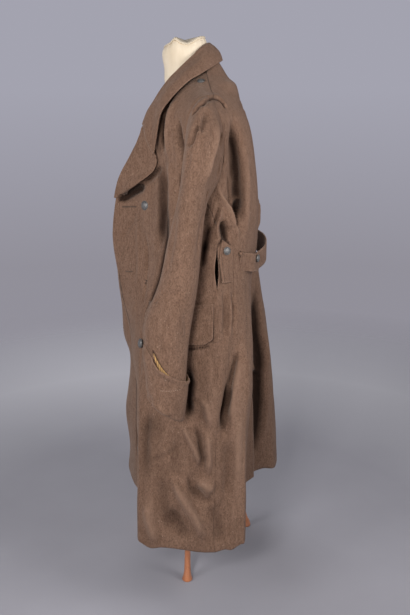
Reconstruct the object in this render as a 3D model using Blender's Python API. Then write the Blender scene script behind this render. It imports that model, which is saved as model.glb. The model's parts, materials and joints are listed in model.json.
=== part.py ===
"""Greatcoat on a dress form, built piece by piece as it is cut and sewn.

Metres, +Z up. The coat's front faces -Y and the wearer's left is +X.
"""

import math

import bmesh
import bpy
import numpy as np

for old in list(bpy.data.objects):
    bpy.data.objects.remove(old, do_unlink=True)

# Sizes of the cloth and its seams
CLOTH = 0.0028
SEAM_GAP = 0.0004
SLIT_GAP = 0.0105
SLIT_LOW, SLIT_HIGH = 0.893, 0.978
LAID_ON = 0.0005
STEPS = 2

# The tables measure Y from the line of the neck; this centres the whole on the origin
FRAME_Y = 0.0126

# Armhole oval, upright beside the shoulder
ARM_X, ARM_Y, ARM_Z = 0.207, -0.001, 1.2265
ARM_TILT, ARM_HALF_Y, ARM_HALF_Z = 0.007, 0.047, 0.1165
SHOULDER_ANGLE = 32

# Neck point, where shoulder seam and neck seam meet
NECK_POINT = (0.079, 0.003, 1.404)

# Left forepart, a row per section from hem to armpit:
# edge z, edge x, edge y, ridge x, ridge y, mid x, mid y, side z, side x, side y, crispness of the ridge
LEFT_FRONT = (
    (0.232, 0.215, -0.170, 0.340, -0.173, 0.364, -0.085, 0.209, 0.366, 0.025, 0.55),
    (0.360, 0.190, -0.173, 0.305, -0.173, 0.336, -0.085, 0.350, 0.338, 0.026, 0.55),
    (0.470, 0.160, -0.177, 0.262, -0.176, 0.308, -0.090, 0.465, 0.315, 0.028, 0.50),
    (0.571, 0.120, -0.184, 0.205, -0.176, 0.272, -0.095, 0.570, 0.297, 0.029, 0.40),
    (0.640, 0.055, -0.209, 0.165, -0.175, 0.246, -0.098, 0.640, 0.286, 0.030, 0.30),
    (0.704, 0.035, -0.214, 0.140, -0.171, 0.232, -0.100, 0.710, 0.276, 0.030, 0.20),
    (0.790, 0.018, -0.230, 0.122, -0.163, 0.216, -0.100, 0.790, 0.262, 0.030, 0.15),
    (0.872, 0.008, -0.2435, 0.108, -0.154, 0.198, -0.098, 0.872, 0.247, 0.030, 0.10),
    (0.953, 0.003, -0.2555, 0.095, -0.152, 0.182, -0.097, 0.945, 0.233, 0.030, 0.0),
    (1.065, 0.018, -0.2455, 0.083, -0.153, 0.170, -0.098, 1.040, 0.211, 0.026, 0.0),
)

# Left forepart above the armpit: edge z, edge x, edge y, ridge x, ridge y, mid x, mid y, angle on the
# armhole, how far the ridge lies under a straight line
LEFT_CHEST = (
    (1.134, 0.036, -0.228, 0.080, -0.148, 0.155, -0.092, -180, 0.0),
    (1.186, 0.048, -0.199, 0.083, -0.142, 0.150, -0.088, -115, 0.0),
    (1.249, 0.064, -0.164, 0.092, -0.130, 0.155, -0.081, -80, 0.004),
    (1.298, 0.076, -0.134, 0.107, -0.107, 0.162, -0.067, -50, 0.007),
    (1.352, 0.083, -0.095, 0.120, -0.072, 0.168, -0.042, -20, 0.004),
    (1.388, 0.083, -0.044, 0.123, -0.028, 0.170, -0.006, 6, -0.003),
)

# Left back, a row per section to the armpit: rear x, rear y, rear z, centre x, centre y, centre z,
# crispness of the rear, how steeply the vent's edge turns out
LEFT_BACK = (
    (0.345, 0.1035, 0.219, 0.0200, 0.1470, 0.234, 0.80, 1.3),
    (0.318, 0.1030, 0.355, 0.0195, 0.1463, 0.360, 0.75, 1.2),
    (0.295, 0.1045, 0.467, 0.0190, 0.1435, 0.470, 0.60, 1.0),
    (0.275, 0.1050, 0.570, 0.0180, 0.1330, 0.570, 0.40, 0.7),
    (0.255, 0.1045, 0.640, 0.0170, 0.1285, 0.640, 0.20, 0.4),
    (0.235, 0.1035, 0.710, 0.0150, 0.1288, 0.710, 0.10, 0.2),
    (0.208, 0.1030, 0.790, 0.0120, 0.1280, 0.790, 0.0, 0.1),
    (0.180, 0.1010, 0.872, 0.0006, 0.1270, 0.872, 0.0, 0.0),
    (0.167, 0.1030, 0.945, 0.0004, 0.1420, 0.945, 0.0, 0.0),
    (0.158, 0.1170, 1.040, 0.0004, 0.1420, 1.040, 0.0, 0.0),
)

# Back above the armpit: angle on the armhole, rear x, rear y, rear z, centre y, centre z
BACK_YOKE = (
    (180, 0.152, 0.118, 1.110, 0.1345, 1.112),
    (115, 0.150, 0.112, 1.180, 0.126, 1.180),
    (80, 0.147, 0.102, 1.250, 0.115, 1.255),
    (55, 0.140, 0.083, 1.308, 0.102, 1.312),
    (42, 0.118, 0.052, 1.350, 0.074, 1.370),
)
NAPE_Y, NAPE_Z = 0.032, 1.438

# Right forepart, which the left one overlaps, hem to armpit: edge z, edge x, edge y, prow x, prow y,
# ridge x, ridge y, mid x, mid y, side z, side x, side y
RIGHT_FRONT = (
    (0.236, 0.090, -0.200, -0.010, -0.233, -0.260, -0.196, -0.358, -0.100, 0.209, -0.366, 0.025),
    (0.335, 0.090, -0.198, -0.010, -0.228, -0.245, -0.190, -0.336, -0.098, 0.350, -0.338, 0.026),
    (0.440, 0.088, -0.195, -0.010, -0.235, -0.225, -0.185, -0.310, -0.097, 0.465, -0.315, 0.028),
    (0.530, 0.085, -0.188, -0.010, -0.2245, -0.205, -0.180, -0.280, -0.097, 0.570, -0.297, 0.029),
    (0.610, 0.078, -0.180, -0.010, -0.219, -0.175, -0.176, -0.252, -0.098, 0.640, -0.286, 0.030),
    (0.674, 0.068, -0.182, -0.010, -0.234, -0.148, -0.172, -0.235, -0.100, 0.710, -0.276, 0.030),
    (0.770, 0.052, -0.187, -0.004, -0.236, -0.124, -0.163, -0.216, -0.100, 0.790, -0.262, 0.030),
    (0.860, 0.042, -0.199, -0.004, -0.2445, -0.110, -0.155, -0.198, -0.098, 0.872, -0.247, 0.030),
    (0.953, 0.038, -0.205, -0.006, -0.244, -0.096, -0.152, -0.182, -0.097, 0.945, -0.233, 0.030),
    (1.060, -0.012, -0.236, -0.034, -0.208, -0.083, -0.153, -0.170, -0.098, 1.040, -0.211, 0.026),
)

# Right back to the armpit: rear x, rear y, rear z, fold x, fold y, fold z, centre x, centre y, centre z
RIGHT_BACK = (
    (-0.305, 0.150, 0.222, -0.070, 0.222, 0.238, 0.0280, 0.1290, 0.236),
    (-0.288, 0.150, 0.355, -0.070, 0.214, 0.360, 0.0275, 0.1283, 0.360),
    (-0.270, 0.149, 0.467, -0.070, 0.205, 0.470, 0.0270, 0.1255, 0.470),
    (-0.255, 0.146, 0.570, -0.070, 0.193, 0.570, 0.0260, 0.1150, 0.570),
    (-0.243, 0.143, 0.640, -0.070, 0.184, 0.640, 0.0250, 0.1105, 0.640),
    (-0.228, 0.140, 0.710, -0.070, 0.175, 0.710, 0.0230, 0.1108, 0.710),
    (-0.206, 0.134, 0.790, -0.070, 0.165, 0.790, 0.0180, 0.1140, 0.790),
    (-0.180, 0.110, 0.872, -0.070, 0.154, 0.872, -0.0014, 0.1275, 0.872),
    (-0.167, 0.105, 0.945, -0.080, 0.1395, 0.945, -0.0004, 0.1420, 0.945),
    (-0.158, 0.117, 1.040, -0.080, 0.1375, 1.040, -0.0004, 0.142, 1.040),
)

# Folds on the skirt and back, seen from the side: side (1 left, -1 right), y and z of both ends,
# half width, height (below zero for a trough)
FOLDS = (
    (1, 0.073, 1.275, 0.081, 1.030, 0.016, -0.018),
    (1, 0.027, 1.095, 0.074, 1.015, 0.013, 0.008),
    (1, 0.081, 0.735, 0.052, 0.540, 0.018, -0.020),
    (1, 0.098, 0.720, 0.100, 0.560, 0.022, 0.010),
    (1, -0.085, 0.560, -0.023, 0.460, 0.018, 0.011),
    (1, -0.018, 0.430, -0.022, 0.270, 0.020, -0.012),
    (1, -0.060, 0.330, 0.025, 0.215, 0.020, 0.012),
    (1, 0.060, 0.480, 0.070, 0.215, 0.022, -0.010),
    (-1, 0.073, 1.270, 0.080, 1.040, 0.016, -0.016),
    (-1, 0.075, 0.700, 0.060, 0.500, 0.020, -0.018),
    (-1, -0.050, 0.560, -0.030, 0.420, 0.020, 0.011),
    (-1, -0.020, 0.400, -0.015, 0.215, 0.022, -0.013),
    (-1, 0.060, 0.420, 0.075, 0.215, 0.022, 0.010),
)

# Sleeve, a row per ring from armhole to hand: outer x and z, inner x and z, middle y, half width in y,
# how far the back hangs under the front for each metre of width
SLEEVE = (
    (0.2150, 1.343, 0.2010, 1.110, -0.001, 0.0470, 0.0),
    (0.2470, 1.331, 0.2045, 1.104, -0.004, 0.0445, 0.0),
    (0.2840, 1.298, 0.2075, 1.096, -0.009, 0.0415, 0.0),
    (0.3110, 1.243, 0.2100, 1.084, -0.017, 0.0385, 0.0),
    (0.3250, 1.178, 0.2115, 1.066, -0.026, 0.0350, 0.0),
    (0.3330, 1.100, 0.2135, 1.040, -0.037, 0.0370, 0.0),
    (0.3410, 1.010, 0.2200, 0.985, -0.050, 0.0420, 0.05),
    (0.3490, 0.905, 0.2345, 0.895, -0.066, 0.0470, 0.10),
    (0.3570, 0.815, 0.2530, 0.812, -0.090, 0.0560, 0.15),
    (0.3660, 0.735, 0.2720, 0.735, -0.094, 0.0510, 0.30),
    (0.3740, 0.660, 0.2830, 0.660, -0.093, 0.0460, 0.55),
    (0.3780, 0.600, 0.2890, 0.600, -0.099, 0.0440, 0.74),
)
SEAM_FRONT, SEAM_BACK = -100, 100
SLEEVE_STEPS = 1
CUFF_DEEP, CUFF_FRONT_MORE, CUFF_FLARE = 0.104, 0.030, 0.005

# Lapel: share of the way up from the break to the collar, width across the chest
LAPEL = ((0.0, 0.026), (0.15, 0.042), (0.28, 0.074), (0.42, 0.097), (0.54, 0.104), (0.67, 0.080),
         (0.78, 0.054), (0.86, 0.040), (0.94, 0.030))
LAPEL_LOW, LAPEL_HIGH, LAPEL_LIFT = 1.080, 1.270, 0.0075

# Collar, a row per station from nape to collar point: crest x y z, leaf edge x y z, how far the foot of the
# stand lies under the crest and inside it
COLLAR = (
    (0.000, 0.013, 1.479, 0.000, 0.047, 1.436, 0.036, -0.008),
    (0.040, -0.002, 1.471, 0.061, 0.022, 1.420, 0.034, -0.005),
    (0.061, -0.023, 1.453, 0.112, -0.010, 1.400, 0.030, 0.000),
    (0.072, -0.050, 1.429, 0.127, -0.037, 1.386, 0.022, 0.004),
    (0.076, -0.076, 1.405, 0.134, -0.069, 1.358, 0.017, 0.006),
    (0.077, -0.097, 1.384, 0.135, -0.092, 1.332, 0.015, 0.007),
    (0.074, -0.122, 1.351, 0.134, -0.107, 1.301, 0.014, 0.007),
    (0.068, -0.145, 1.312, 0.127, -0.117, 1.252, 0.013, 0.007),
    (0.063, -0.163, 1.276, 0.120, -0.127, 1.203, 0.012, 0.007),
)

# Pocket flap on the forepart, seen from the side
FLAP_Y = (-0.150, 0.021)
FLAP_TOP, FLAP_LOW, FLAP_SLOPE, FLAP_THICK = 0.845, 0.744, 0.14, 0.0032

# Tab beside the side slit: y, top z, bottom z
TAB = ((0.036, 0.990, 0.896), (0.043, 1.001, 0.895), (0.055, 0.989, 0.894), (0.067, 0.978, 0.893))

# Half belts: where they start on the back, then x, y, middle z of each station; both are one height
BELT_HIGH, BELT_THICK = 0.048, 0.0034
BELT_START_Y, BELT_START_Z, BELT_STAND_OFF = 0.0715, 0.945, 0.0070
LEFT_BELT = ((0.208, 0.1000, 0.941), (0.177, 0.1190, 0.934), (0.141, 0.1325, 0.927), (0.105, 0.1440, 0.921))
RIGHT_BELT = ((-0.208, 0.106, 0.945), (-0.155, 0.141, 0.945), (-0.100, 0.160, 0.944), (-0.050, 0.170, 0.942),
              (0.000, 0.172, 0.936), (0.050, 0.164, 0.929), (0.085, 0.150, 0.925), (0.107, 0.1385, 0.9225),
              (0.124, 0.1330, 0.921))

# Buttons: side, y and z on the foreparts
BUTTON_R, BUTTON_HIGH = 0.0130, 0.0065
FRONT_BUTTONS = (("left_button_upper", 1, -0.157, 1.062), ("left_button_lower", 1, -0.172, 0.704),
                 ("right_button_upper", -1, -0.157, 1.062), ("right_button_middle", -1, -0.155, 0.869),
                 ("right_button_lower", -1, -0.172, 0.704))
BELT_BUTTON = (0.130, 0.1366, 0.936)
SHOULDER_BUTTON_R, SHOULDER_BUTTON_X, SHOULDER_BUTTON_Y = 0.0095, 0.119, -0.010

# Dress form: z, half width, front y, back y of each ring, torso to top of neck
FORM = (
    (0.735, 0.132, -0.122, 0.044),
    (0.745, 0.140, -0.128, 0.049),
    (0.800, 0.148, -0.134, 0.054),
    (0.870, 0.142, -0.130, 0.052),
    (0.950, 0.128, -0.122, 0.046),
    (1.050, 0.136, -0.128, 0.052),
    (1.150, 0.143, -0.130, 0.056),
    (1.230, 0.143, -0.124, 0.054),
    (1.285, 0.134, -0.114, 0.046),
    (1.322, 0.114, -0.108, 0.036),
    (1.350, 0.088, -0.104, 0.022),
    (1.372, 0.067, -0.105, 0.009),
    (1.395, 0.056, -0.107, 0.002),
    (1.430, 0.053, -0.107, 0.000),
    (1.478, 0.054, -0.108, 0.002),
)
FORM_SIDES = 22
NECK_Y = -0.053
STAND_Y = -0.041
NECK_SLOPE = 0.22
CAP_HIGH = 0.009

# Stand: pole, turned hub and three curved legs
POLE_R, POLE_LOW, POLE_HIGH = 0.0135, 0.3404, 0.7345
HUB = ((0.252, 0.012), (0.256, 0.024), (0.268, 0.030), (0.292, 0.037), (0.316, 0.036), (0.328, 0.026),
       (0.336, 0.022), (0.340, 0.018))
LEG = ((0.0375, 0.302, 0.0120), (0.070, 0.306, 0.0125), (0.104, 0.286, 0.0125), (0.134, 0.240, 0.0118),
       (0.156, 0.172, 0.0108), (0.173, 0.100, 0.0100), (0.184, 0.044, 0.0108), (0.193, 0.018, 0.0128))
LEG_ANGLES = (("left", -3), ("rear", 117), ("front", 237))
FOOT_R, FOOT_SIDES = 0.0145, 10


def material(name, colour, rough):
    """A plain Principled material."""
    made = bpy.data.materials.new(name)
    made.use_nodes = True
    shader = made.node_tree.nodes["Principled BSDF"]
    shader.inputs["Base Color"].default_value = (*colour, 1.0)
    shader.inputs["Roughness"].default_value = rough
    return made


WOOL = material("coat_wool", (0.20, 0.14, 0.10), 0.95)
HORN = material("button_horn", (0.12, 0.09, 0.07), 0.4)
LINEN = material("form_linen", (0.78, 0.71, 0.60), 0.9)
WOOD = material("stand_wood", (0.42, 0.18, 0.06), 0.3)


def unit(vectors):
    """Vectors of length one along the last axis."""
    return vectors / np.maximum(np.linalg.norm(vectors, axis=-1, keepdims=True), 1e-9)


def spline(points, counts, crisp=None, end=None):
    """Points along a smooth curve through the given ones. crisp sharpens a point; end is the last tangent."""
    points = np.asarray(points, float)
    lengths = np.maximum(np.linalg.norm(np.diff(points, axis=0), axis=1), 1e-9)
    slopes = np.diff(points, axis=0) / lengths[:, None]
    tangents = np.zeros_like(points)
    for i in range(1, len(points) - 1):
        mixed = slopes[i - 1] * lengths[i] + slopes[i] * lengths[i - 1]
        tangents[i] = mixed / (lengths[i - 1] + lengths[i])
    tangents[0] = 1.5 * slopes[0] - 0.5 * tangents[1] if len(points) > 2 else slopes[0]
    tangents[-1] = 1.5 * slopes[-1] - 0.5 * tangents[-2] if len(points) > 2 else slopes[-1]
    if end is not None:
        tangents[-1] = end
    if crisp is not None:
        tangents = tangents * (1 - np.asarray(crisp, float))[:, None]
    found = []
    for i, count in enumerate(counts):
        t = (np.arange(count) / count)[:, None]
        found.append((2 * t**3 - 3 * t**2 + 1) * points[i] + (t**3 - 2 * t**2 + t) * lengths[i] * tangents[i]
                     + (3 * t**2 - 2 * t**3) * points[i + 1] + (t**3 - t**2) * lengths[i] * tangents[i + 1])
    return np.vstack(found + [points[-1:]])


def surface(control, counts, crisp, end=None, steps=STEPS):
    """A grid of points: rows of control points joined upwards, then smoothed along each row."""
    control = np.asarray(control, float)
    paths = [spline(control[:, i], [steps] * (len(control) - 1)) for i in range(control.shape[1])]
    rows = np.stack(paths, axis=1)

    def spread(given):
        given = np.asarray(given, float)
        at = np.linspace(0, len(given) - 1, len(rows))
        return np.stack([np.interp(at, np.arange(len(given)), column) for column in given.T], axis=1)

    lasts = [None] * len(rows) if end is None else spread(end)
    given = zip(rows, spread(crisp), lasts)
    return np.stack([spline(row, counts, sharp, last) for row, sharp, last in given])


def normals_of(grid, away_from):
    """The grid's normals, pointing away from the given points."""
    found = unit(np.cross(np.gradient(grid, axis=1), np.gradient(grid, axis=0)))
    if np.sum(found * (grid - np.asarray(away_from))) < 0:
        found = -found
    return found


def add_object(name, points, faces, look):
    """A mesh object whose faces point out."""
    points = np.array(points, float)
    points[:, 1] += FRAME_Y
    mesh = bpy.data.meshes.new(name)
    mesh.from_pydata(points.tolist(), [], faces)
    shaped = bmesh.new()
    shaped.from_mesh(mesh)
    bmesh.ops.recalc_face_normals(shaped, faces=shaped.faces)
    if shaped.calc_volume(signed=True) < 0:
        bmesh.ops.reverse_faces(shaped, faces=shaped.faces)
    shaped.to_mesh(mesh)
    shaped.free()
    mesh.materials.append(look)
    made = bpy.data.objects.new(name, mesh)
    bpy.context.scene.collection.objects.link(made)
    return made


def wall(name, outer, normals, thick=CLOTH, look=WOOL):
    """A cloth wall: the outer grid, the same grid moved in, and rims round the edge."""
    rows, columns = outer.shape[:2]
    points = np.vstack([outer.reshape(-1, 3), (outer - normals * thick).reshape(-1, 3)])
    inside = rows * columns
    faces = []
    for r in range(rows - 1):
        for c in range(columns - 1):
            a, b = r * columns + c, r * columns + c + 1
            faces.append((a, b, b + columns, a + columns))
            faces.append((a + inside, a + columns + inside, b + columns + inside, b + inside))
    rim = [c for c in range(columns)]
    rim += [r * columns + columns - 1 for r in range(1, rows)]
    rim += [(rows - 1) * columns + c for c in range(columns - 2, -1, -1)]
    rim += [r * columns for r in range(rows - 2, 0, -1)]
    for a, b in zip(rim, rim[1:] + rim[:1]):
        faces.append((a, a + inside, b + inside, b))
    return add_object(name, points, faces, look)


def lathe(name, rings, look, sides):
    """A closed body from rings of points, each with the same number of sides."""
    rings = np.asarray(rings, float)
    count = len(rings)
    points = rings.reshape(-1, 3)
    faces = [tuple(range(sides - 1, -1, -1)), tuple(range((count - 1) * sides, count * sides))]
    for r in range(count - 1):
        for c in range(sides):
            d = (c + 1) % sides
            faces.append((r * sides + c, r * sides + d, (r + 1) * sides + d, (r + 1) * sides + c))
    return add_object(name, points, faces, look)


def armhole(degrees, side=1):
    """A point on the armhole: 0 at the top, below zero towards the front."""
    a = math.radians(degrees)
    return (side * (ARM_X + ARM_TILT * math.cos(a)), ARM_Y + ARM_HALF_Y * math.sin(a),
            ARM_Z + ARM_HALF_Z * math.cos(a))


def between(a, b, share):
    """The point that share of the way from a to b."""
    return tuple(np.asarray(a) * (1 - share) + np.asarray(b) * share)


def front_rows(side):
    """Control points of a forepart, hem to shoulder seam: edge, (prow,) ridge, mid, side."""
    rows, crisp = [], []
    if side > 0:
        for ez, ex, ey, rx, ry, mx, my, sz, sx, sy, sharp in LEFT_FRONT:
            drop = sz - ez
            rows.append(((ex, ey, ez), (rx, ry, ez + drop / 3), (mx, my, ez + drop * 2 / 3), (sx, sy, sz)))
            crisp.append((0, sharp, 0, 0))
    else:
        for ez, ex, ey, px, py, rx, ry, mx, my, sz, sx, sy in RIGHT_FRONT:
            drop = sz - ez
            rows.append(((ex, ey, ez), (px, py, ez + drop * 0.1), (rx, ry, ez + drop / 2),
                         (mx, my, ez + drop * 0.8), (sx, sy, sz)))
            crisp.append((0, 0, 0, 0, 0))
    for ez, ex, ey, rx, ry, mx, my, angle, dip in LEFT_CHEST:
        arm = armhole(angle, side)
        edge = (side * ex, ey, ez)
        ridge = (side * rx, ry, ez + (arm[2] - ez) / 3 - dip)
        mid = (side * mx, my, ez + (arm[2] - ez) * 2 / 3 - dip / 2)
        prow = () if side > 0 else (between(edge, ridge, 0.4),)
        rows.append((edge, *prow, ridge, mid, arm))
    neck = (side * NECK_POINT[0], NECK_POINT[1], NECK_POINT[2])
    arm = armhole(SHOULDER_ANGLE, side)
    shares = (0, 1 / 3, 2 / 3, 1) if side > 0 else (0, 0.15, 1 / 3, 2 / 3, 1)
    seam = [between(neck, arm, share) for share in shares]
    rows.append(tuple(seam))
    crisp += [(0,) * len(seam)] * (len(rows) - len(crisp))
    return rows, crisp


def back_rows(side):
    """Control points of a back half, hem to shoulder seam: side, rear, (fold,) centre."""
    rows, crisp, turns = [], [], []
    if side > 0:
        for front, (kx, ky, kz, bx, by, bz, sharp, steep) in zip(LEFT_FRONT, LEFT_BACK):
            rows.append(((front[8], front[9], front[7]), (kx, ky, kz), (bx, by, bz)))
            crisp.append((0, sharp, 0))
            turns.append(unit(np.array([-1, steep, 0])))
    else:
        for front, (kx, ky, kz, gx, gy, gz, bx, by, bz) in zip(RIGHT_FRONT, RIGHT_BACK):
            rows.append(((front[10], front[11], front[9]), (kx, ky, kz), (gx, gy, gz), (bx, by, bz)))
            crisp.append((0, 0, 0, 0))
    for angle, kx, ky, kz, by, bz in BACK_YOKE:
        arm = armhole(angle, side)
        rear, centre = (side * kx, ky, kz), (side * 0.0004, by, bz)
        if side > 0:
            rows.append((arm, rear, centre))
        else:
            fold = (-kx * 0.5, ky * 0.25 + by * 0.75, kz * 0.4 + bz * 0.6)
            rows.append((arm, rear, fold, centre))
    neck = (side * NECK_POINT[0], NECK_POINT[1], NECK_POINT[2])
    nape = (side * 0.0004, NAPE_Y, NAPE_Z)
    top = (armhole(SHOULDER_ANGLE, side), neck, nape)
    if side < 0:
        top = (top[0], top[1], (-0.044, 0.0195, 1.4215), top[2])
    rows.append(top)
    crisp += [(0,) * len(top)] * (len(rows) - len(crisp))
    turns += [np.array([-side, 0, 0])] * (len(rows) - len(turns))
    return rows, crisp, turns


def folded(grid, normals, side):
    """The grid with the large folds raised or sunk into it."""
    found = grid.copy()
    for hand, y0, z0, y1, z1, half, height in FOLDS:
        if hand != side:
            continue
        start, along = np.array([y0, z0]), np.array([y1 - y0, z1 - z0])
        length = np.linalg.norm(along)
        offset = grid[..., 1:] - start
        share = np.clip(offset @ along / length**2, 0, 1)
        across = np.linalg.norm(offset - share[..., None] * along, axis=-1)
        taper = np.clip(np.minimum(share, 1 - share) * 4 + 0.25, 0, 1)
        outside = np.clip((side * grid[..., 0] - 0.10) / 0.06, 0, 1)
        found += normals * (height * np.exp(-((across / half) ** 2)) * taper * outside)[..., None]
    return found


def seam_gaps(heights):
    """Half the gap between forepart and back at each height: a seam, and the open side slit."""
    inside = np.clip((heights - SLIT_LOW) / 0.012, 0, 1) * np.clip((SLIT_HIGH - heights) / 0.012, 0, 1)
    return SEAM_GAP / 2 + (SLIT_GAP - SEAM_GAP) / 2 * inside


def body_half(side):
    """Forepart and back half as grids and normals that share their seams."""
    counts_f = (4, 6, 5) if side > 0 else (3, 4, 5, 4)
    counts_b = (6, 6) if side > 0 else (5, 4, 4)
    rows, crisp = front_rows(side)
    front = surface(rows, counts_f, crisp)
    rows, crisp, turns = back_rows(side)
    back = surface(rows, counts_b, crisp, turns)
    sewn = (len(LEFT_FRONT) - 1) * STEPS + 1
    joined = (front[:sewn + STEPS, -1] + back[:sewn + STEPS, 0]) / 2
    front[:sewn + STEPS, -1] = joined
    back[:sewn + STEPS, 0] = joined
    seam = np.linspace(0, 1, counts_b[0] + 1)[:, None]
    back[-1, :counts_b[0] + 1] = front[-1, -1] * (1 - seam) + front[-1, 0] * seam
    axis_f = np.array([0.0, -0.04, 0.0]) + front * np.array([0, 0, 1])
    axis_b = np.array([0.0, -0.04, 0.0]) + back * np.array([0, 0, 1])

    def shared(front, back):
        normal_f, normal_b = normals_of(front, axis_f), normals_of(back, axis_b)
        common = unit(normal_f[:sewn + STEPS, -1] + normal_b[:sewn + STEPS, 0])
        normal_f[:sewn + STEPS, -1] = common
        normal_b[:sewn + STEPS, 0] = common
        run = unit(front[-1, -1] - front[-1, 0])
        over = unit(np.array([0.0, 0.0, 1.0]) - run * run[2])
        normal_f[-1] = over
        normal_b[-1, :counts_b[0] + 1] = over
        centre = normal_b[len(LEFT_BACK) * STEPS - STEPS * 2:, -1]
        centre[:, 0] = 0
        normal_b[len(LEFT_BACK) * STEPS - STEPS * 2:, -1] = unit(centre)
        return normal_f, normal_b

    normal_f, normal_b = shared(front, back)
    front, back = folded(front, normal_f, side), folded(back, normal_b, side)
    normal_f, normal_b = shared(front, back)
    low = slice(0, sewn + STEPS)
    gaps = seam_gaps(front[low, -1, 2])[:, None]
    front[low, -1] -= unit(front[low, -1] - front[low, -2]) * gaps
    back[low, 0] += unit(back[low, 1] - back[low, 0]) * gaps
    back[-1, :counts_b[0] + 1] += unit(back[-2, :counts_b[0] + 1] - back[-1, :counts_b[0] + 1]) * 0.0006
    return front, normal_f, back, normal_b


def at_y(grid, normals, height, y):
    """The point and normal of a grid at a height and a y, along the rows where y rises."""
    heights = grid[:, :, 2].mean(axis=1)
    r = int(np.clip(np.searchsorted(heights, height) - 1, 0, len(heights) - 2))
    share = (height - heights[r]) / (heights[r + 1] - heights[r])
    row = grid[r] * (1 - share) + grid[r + 1] * share
    lean = normals[r] * (1 - share) + normals[r + 1] * share
    first = int(np.argmin(row[:, 1]))
    order = np.argsort(row[first:, 1])
    ys = row[first:][order, 1]
    point = np.array([np.interp(y, ys, row[first:][order, i]) for i in range(3)])
    normal = np.array([np.interp(y, ys, lean[first:][order, i]) for i in range(3)])
    return point, unit(normal)


def on_shoulder(grid, normals, x, y):
    """The point and normal of a forepart's top at x and y, blended from the nearest points."""
    points, leans = grid[-6:].reshape(-1, 3), normals[-6:].reshape(-1, 3)
    near = np.argsort(np.hypot(points[:, 0] - x, points[:, 1] - y))[:4]
    share = 1 / (np.hypot(points[near, 0] - x, points[near, 1] - y) + 0.002)
    share /= share.sum()
    normal = unit(share @ leans[near])
    at = share @ points[near]
    height = at[2] - (normal[0] * (x - at[0]) + normal[1] * (y - at[1])) / normal[2]
    return np.array([x, y, height]), normal


def sleeve_grid(side, first, last, count, out=0.0):
    """Points and normals round part of a sleeve, from angle first to last (0 out, below zero front)."""
    rings = []
    for ox, oz, ix, iz, y, half, slant in SLEEVE:
        centre = np.array([side * (ox + ix) / 2, y, (oz + iz) / 2])
        outward = np.array([side * (ox - ix) / 2, 0, (oz - iz) / 2])
        rear = np.array([0, half, -slant * half])
        rings.append((centre, outward, rear))
    parts = np.array(rings)
    smooth = np.stack([spline(parts[:, i], [SLEEVE_STEPS] * (len(SLEEVE) - 1)) for i in range(3)], axis=1)
    step = (last - first) / (count - 1)
    angles = np.radians(first + step * np.arange(-1, count + 1))
    grid = (smooth[:, None, 0] + np.cos(angles)[None, :, None] * smooth[:, None, 1]
            + np.sin(angles)[None, :, None] * smooth[:, None, 2])
    middle = np.broadcast_to(smooth[:, None, 0], grid.shape)
    normal = normals_of(grid, middle)
    return (grid + normal * out)[:, 1:-1], normal[:, 1:-1]


def cuff(side):
    """The turn-back cuff: a ring of wall laid on the sleeve's end, open where its back seam lets go."""
    count = 25
    grid, normal = sleeve_grid(side, -182.0, 176.0, count)
    angles = np.radians(np.linspace(-182.0, 176.0, count))
    rows = 4
    outer = np.zeros((rows, count, 3))
    lean = np.zeros((rows, count, 3))
    for c in range(count):
        line, around = grid[::-1, c], normal[::-1, c]
        run = np.concatenate([[0], np.cumsum(np.linalg.norm(np.diff(line, axis=0), axis=1))])
        ahead = max(0.0, -math.sin(angles[c]))
        deep = CUFF_DEEP + CUFF_FRONT_MORE * ahead**2
        for r in range(rows):
            at = 0.002 + deep * r / (rows - 1)
            point = np.array([np.interp(at, run, line[:, i]) for i in range(3)])
            out = unit(np.array([np.interp(at, run, around[:, i]) for i in range(3)]))
            stand = 0.0012 + CLOTH + CUFF_FLARE * (r / (rows - 1)) * (0.5 + 0.9 * ahead)
            outer[r, c] = point + out * stand
            lean[r, c] = out
    wall(f"{'left' if side > 0 else 'right'}_cuff", outer, lean)


def lapel(side, front, normal):
    """The lapel: the forepart's points near its turned edge, moved out and rolled over that edge."""
    steps = np.linspace(0, 1, len(LAPEL) + 4)
    widths = np.interp(steps, [a for a, _ in LAPEL] + [1.0], [w for _, w in LAPEL] + [0.026])
    inner, shares = (0.0, 0.0045, 0.010), np.array([0.28, 0.52, 0.76, 1.0])
    heights = front[:, 0, 2]
    low = int(np.argmin(np.abs(heights - 1.0)))
    outer = np.zeros((len(steps), len(inner) + len(shares), 3))
    lean = np.zeros_like(outer)
    for i, (share, width) in enumerate(zip(steps, widths)):
        z = LAPEL_LOW + (LAPEL_HIGH - LAPEL_LOW) * share
        at = np.interp(z, heights[low:-3], np.arange(low, len(heights) - 3))
        r, f = int(at), at - int(at)
        row = front[r] * (1 - f) + front[r + 1] * f
        around = normal[r] * (1 - f) + normal[r + 1] * f
        run = np.concatenate([[0], np.cumsum(np.linalg.norm(np.diff(row, axis=0), axis=1))])
        ahead = unit(row[0] - row[1])
        for j, s in enumerate((*inner, *(inner[-1] + (width - inner[-1]) * shares))):
            point = np.array([np.interp(s, run, row[:, k]) for k in range(3)])
            out = unit(np.array([np.interp(s, run, around[:, k]) for k in range(3)]))
            roll = math.exp(-s / 0.012)
            lift = 0.0012 + CLOTH + (LAPEL_LIFT - 0.004) * min(1.0, width / 0.06) * (1 - roll)
            outer[i, j] = point + out * lift + ahead * 0.004 * roll
            lean[i, j] = unit(out + ahead * 0.8 * math.exp(-s / 0.005))
    wall(f"{'left' if side > 0 else 'right'}_lapel", outer, lean)


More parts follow.
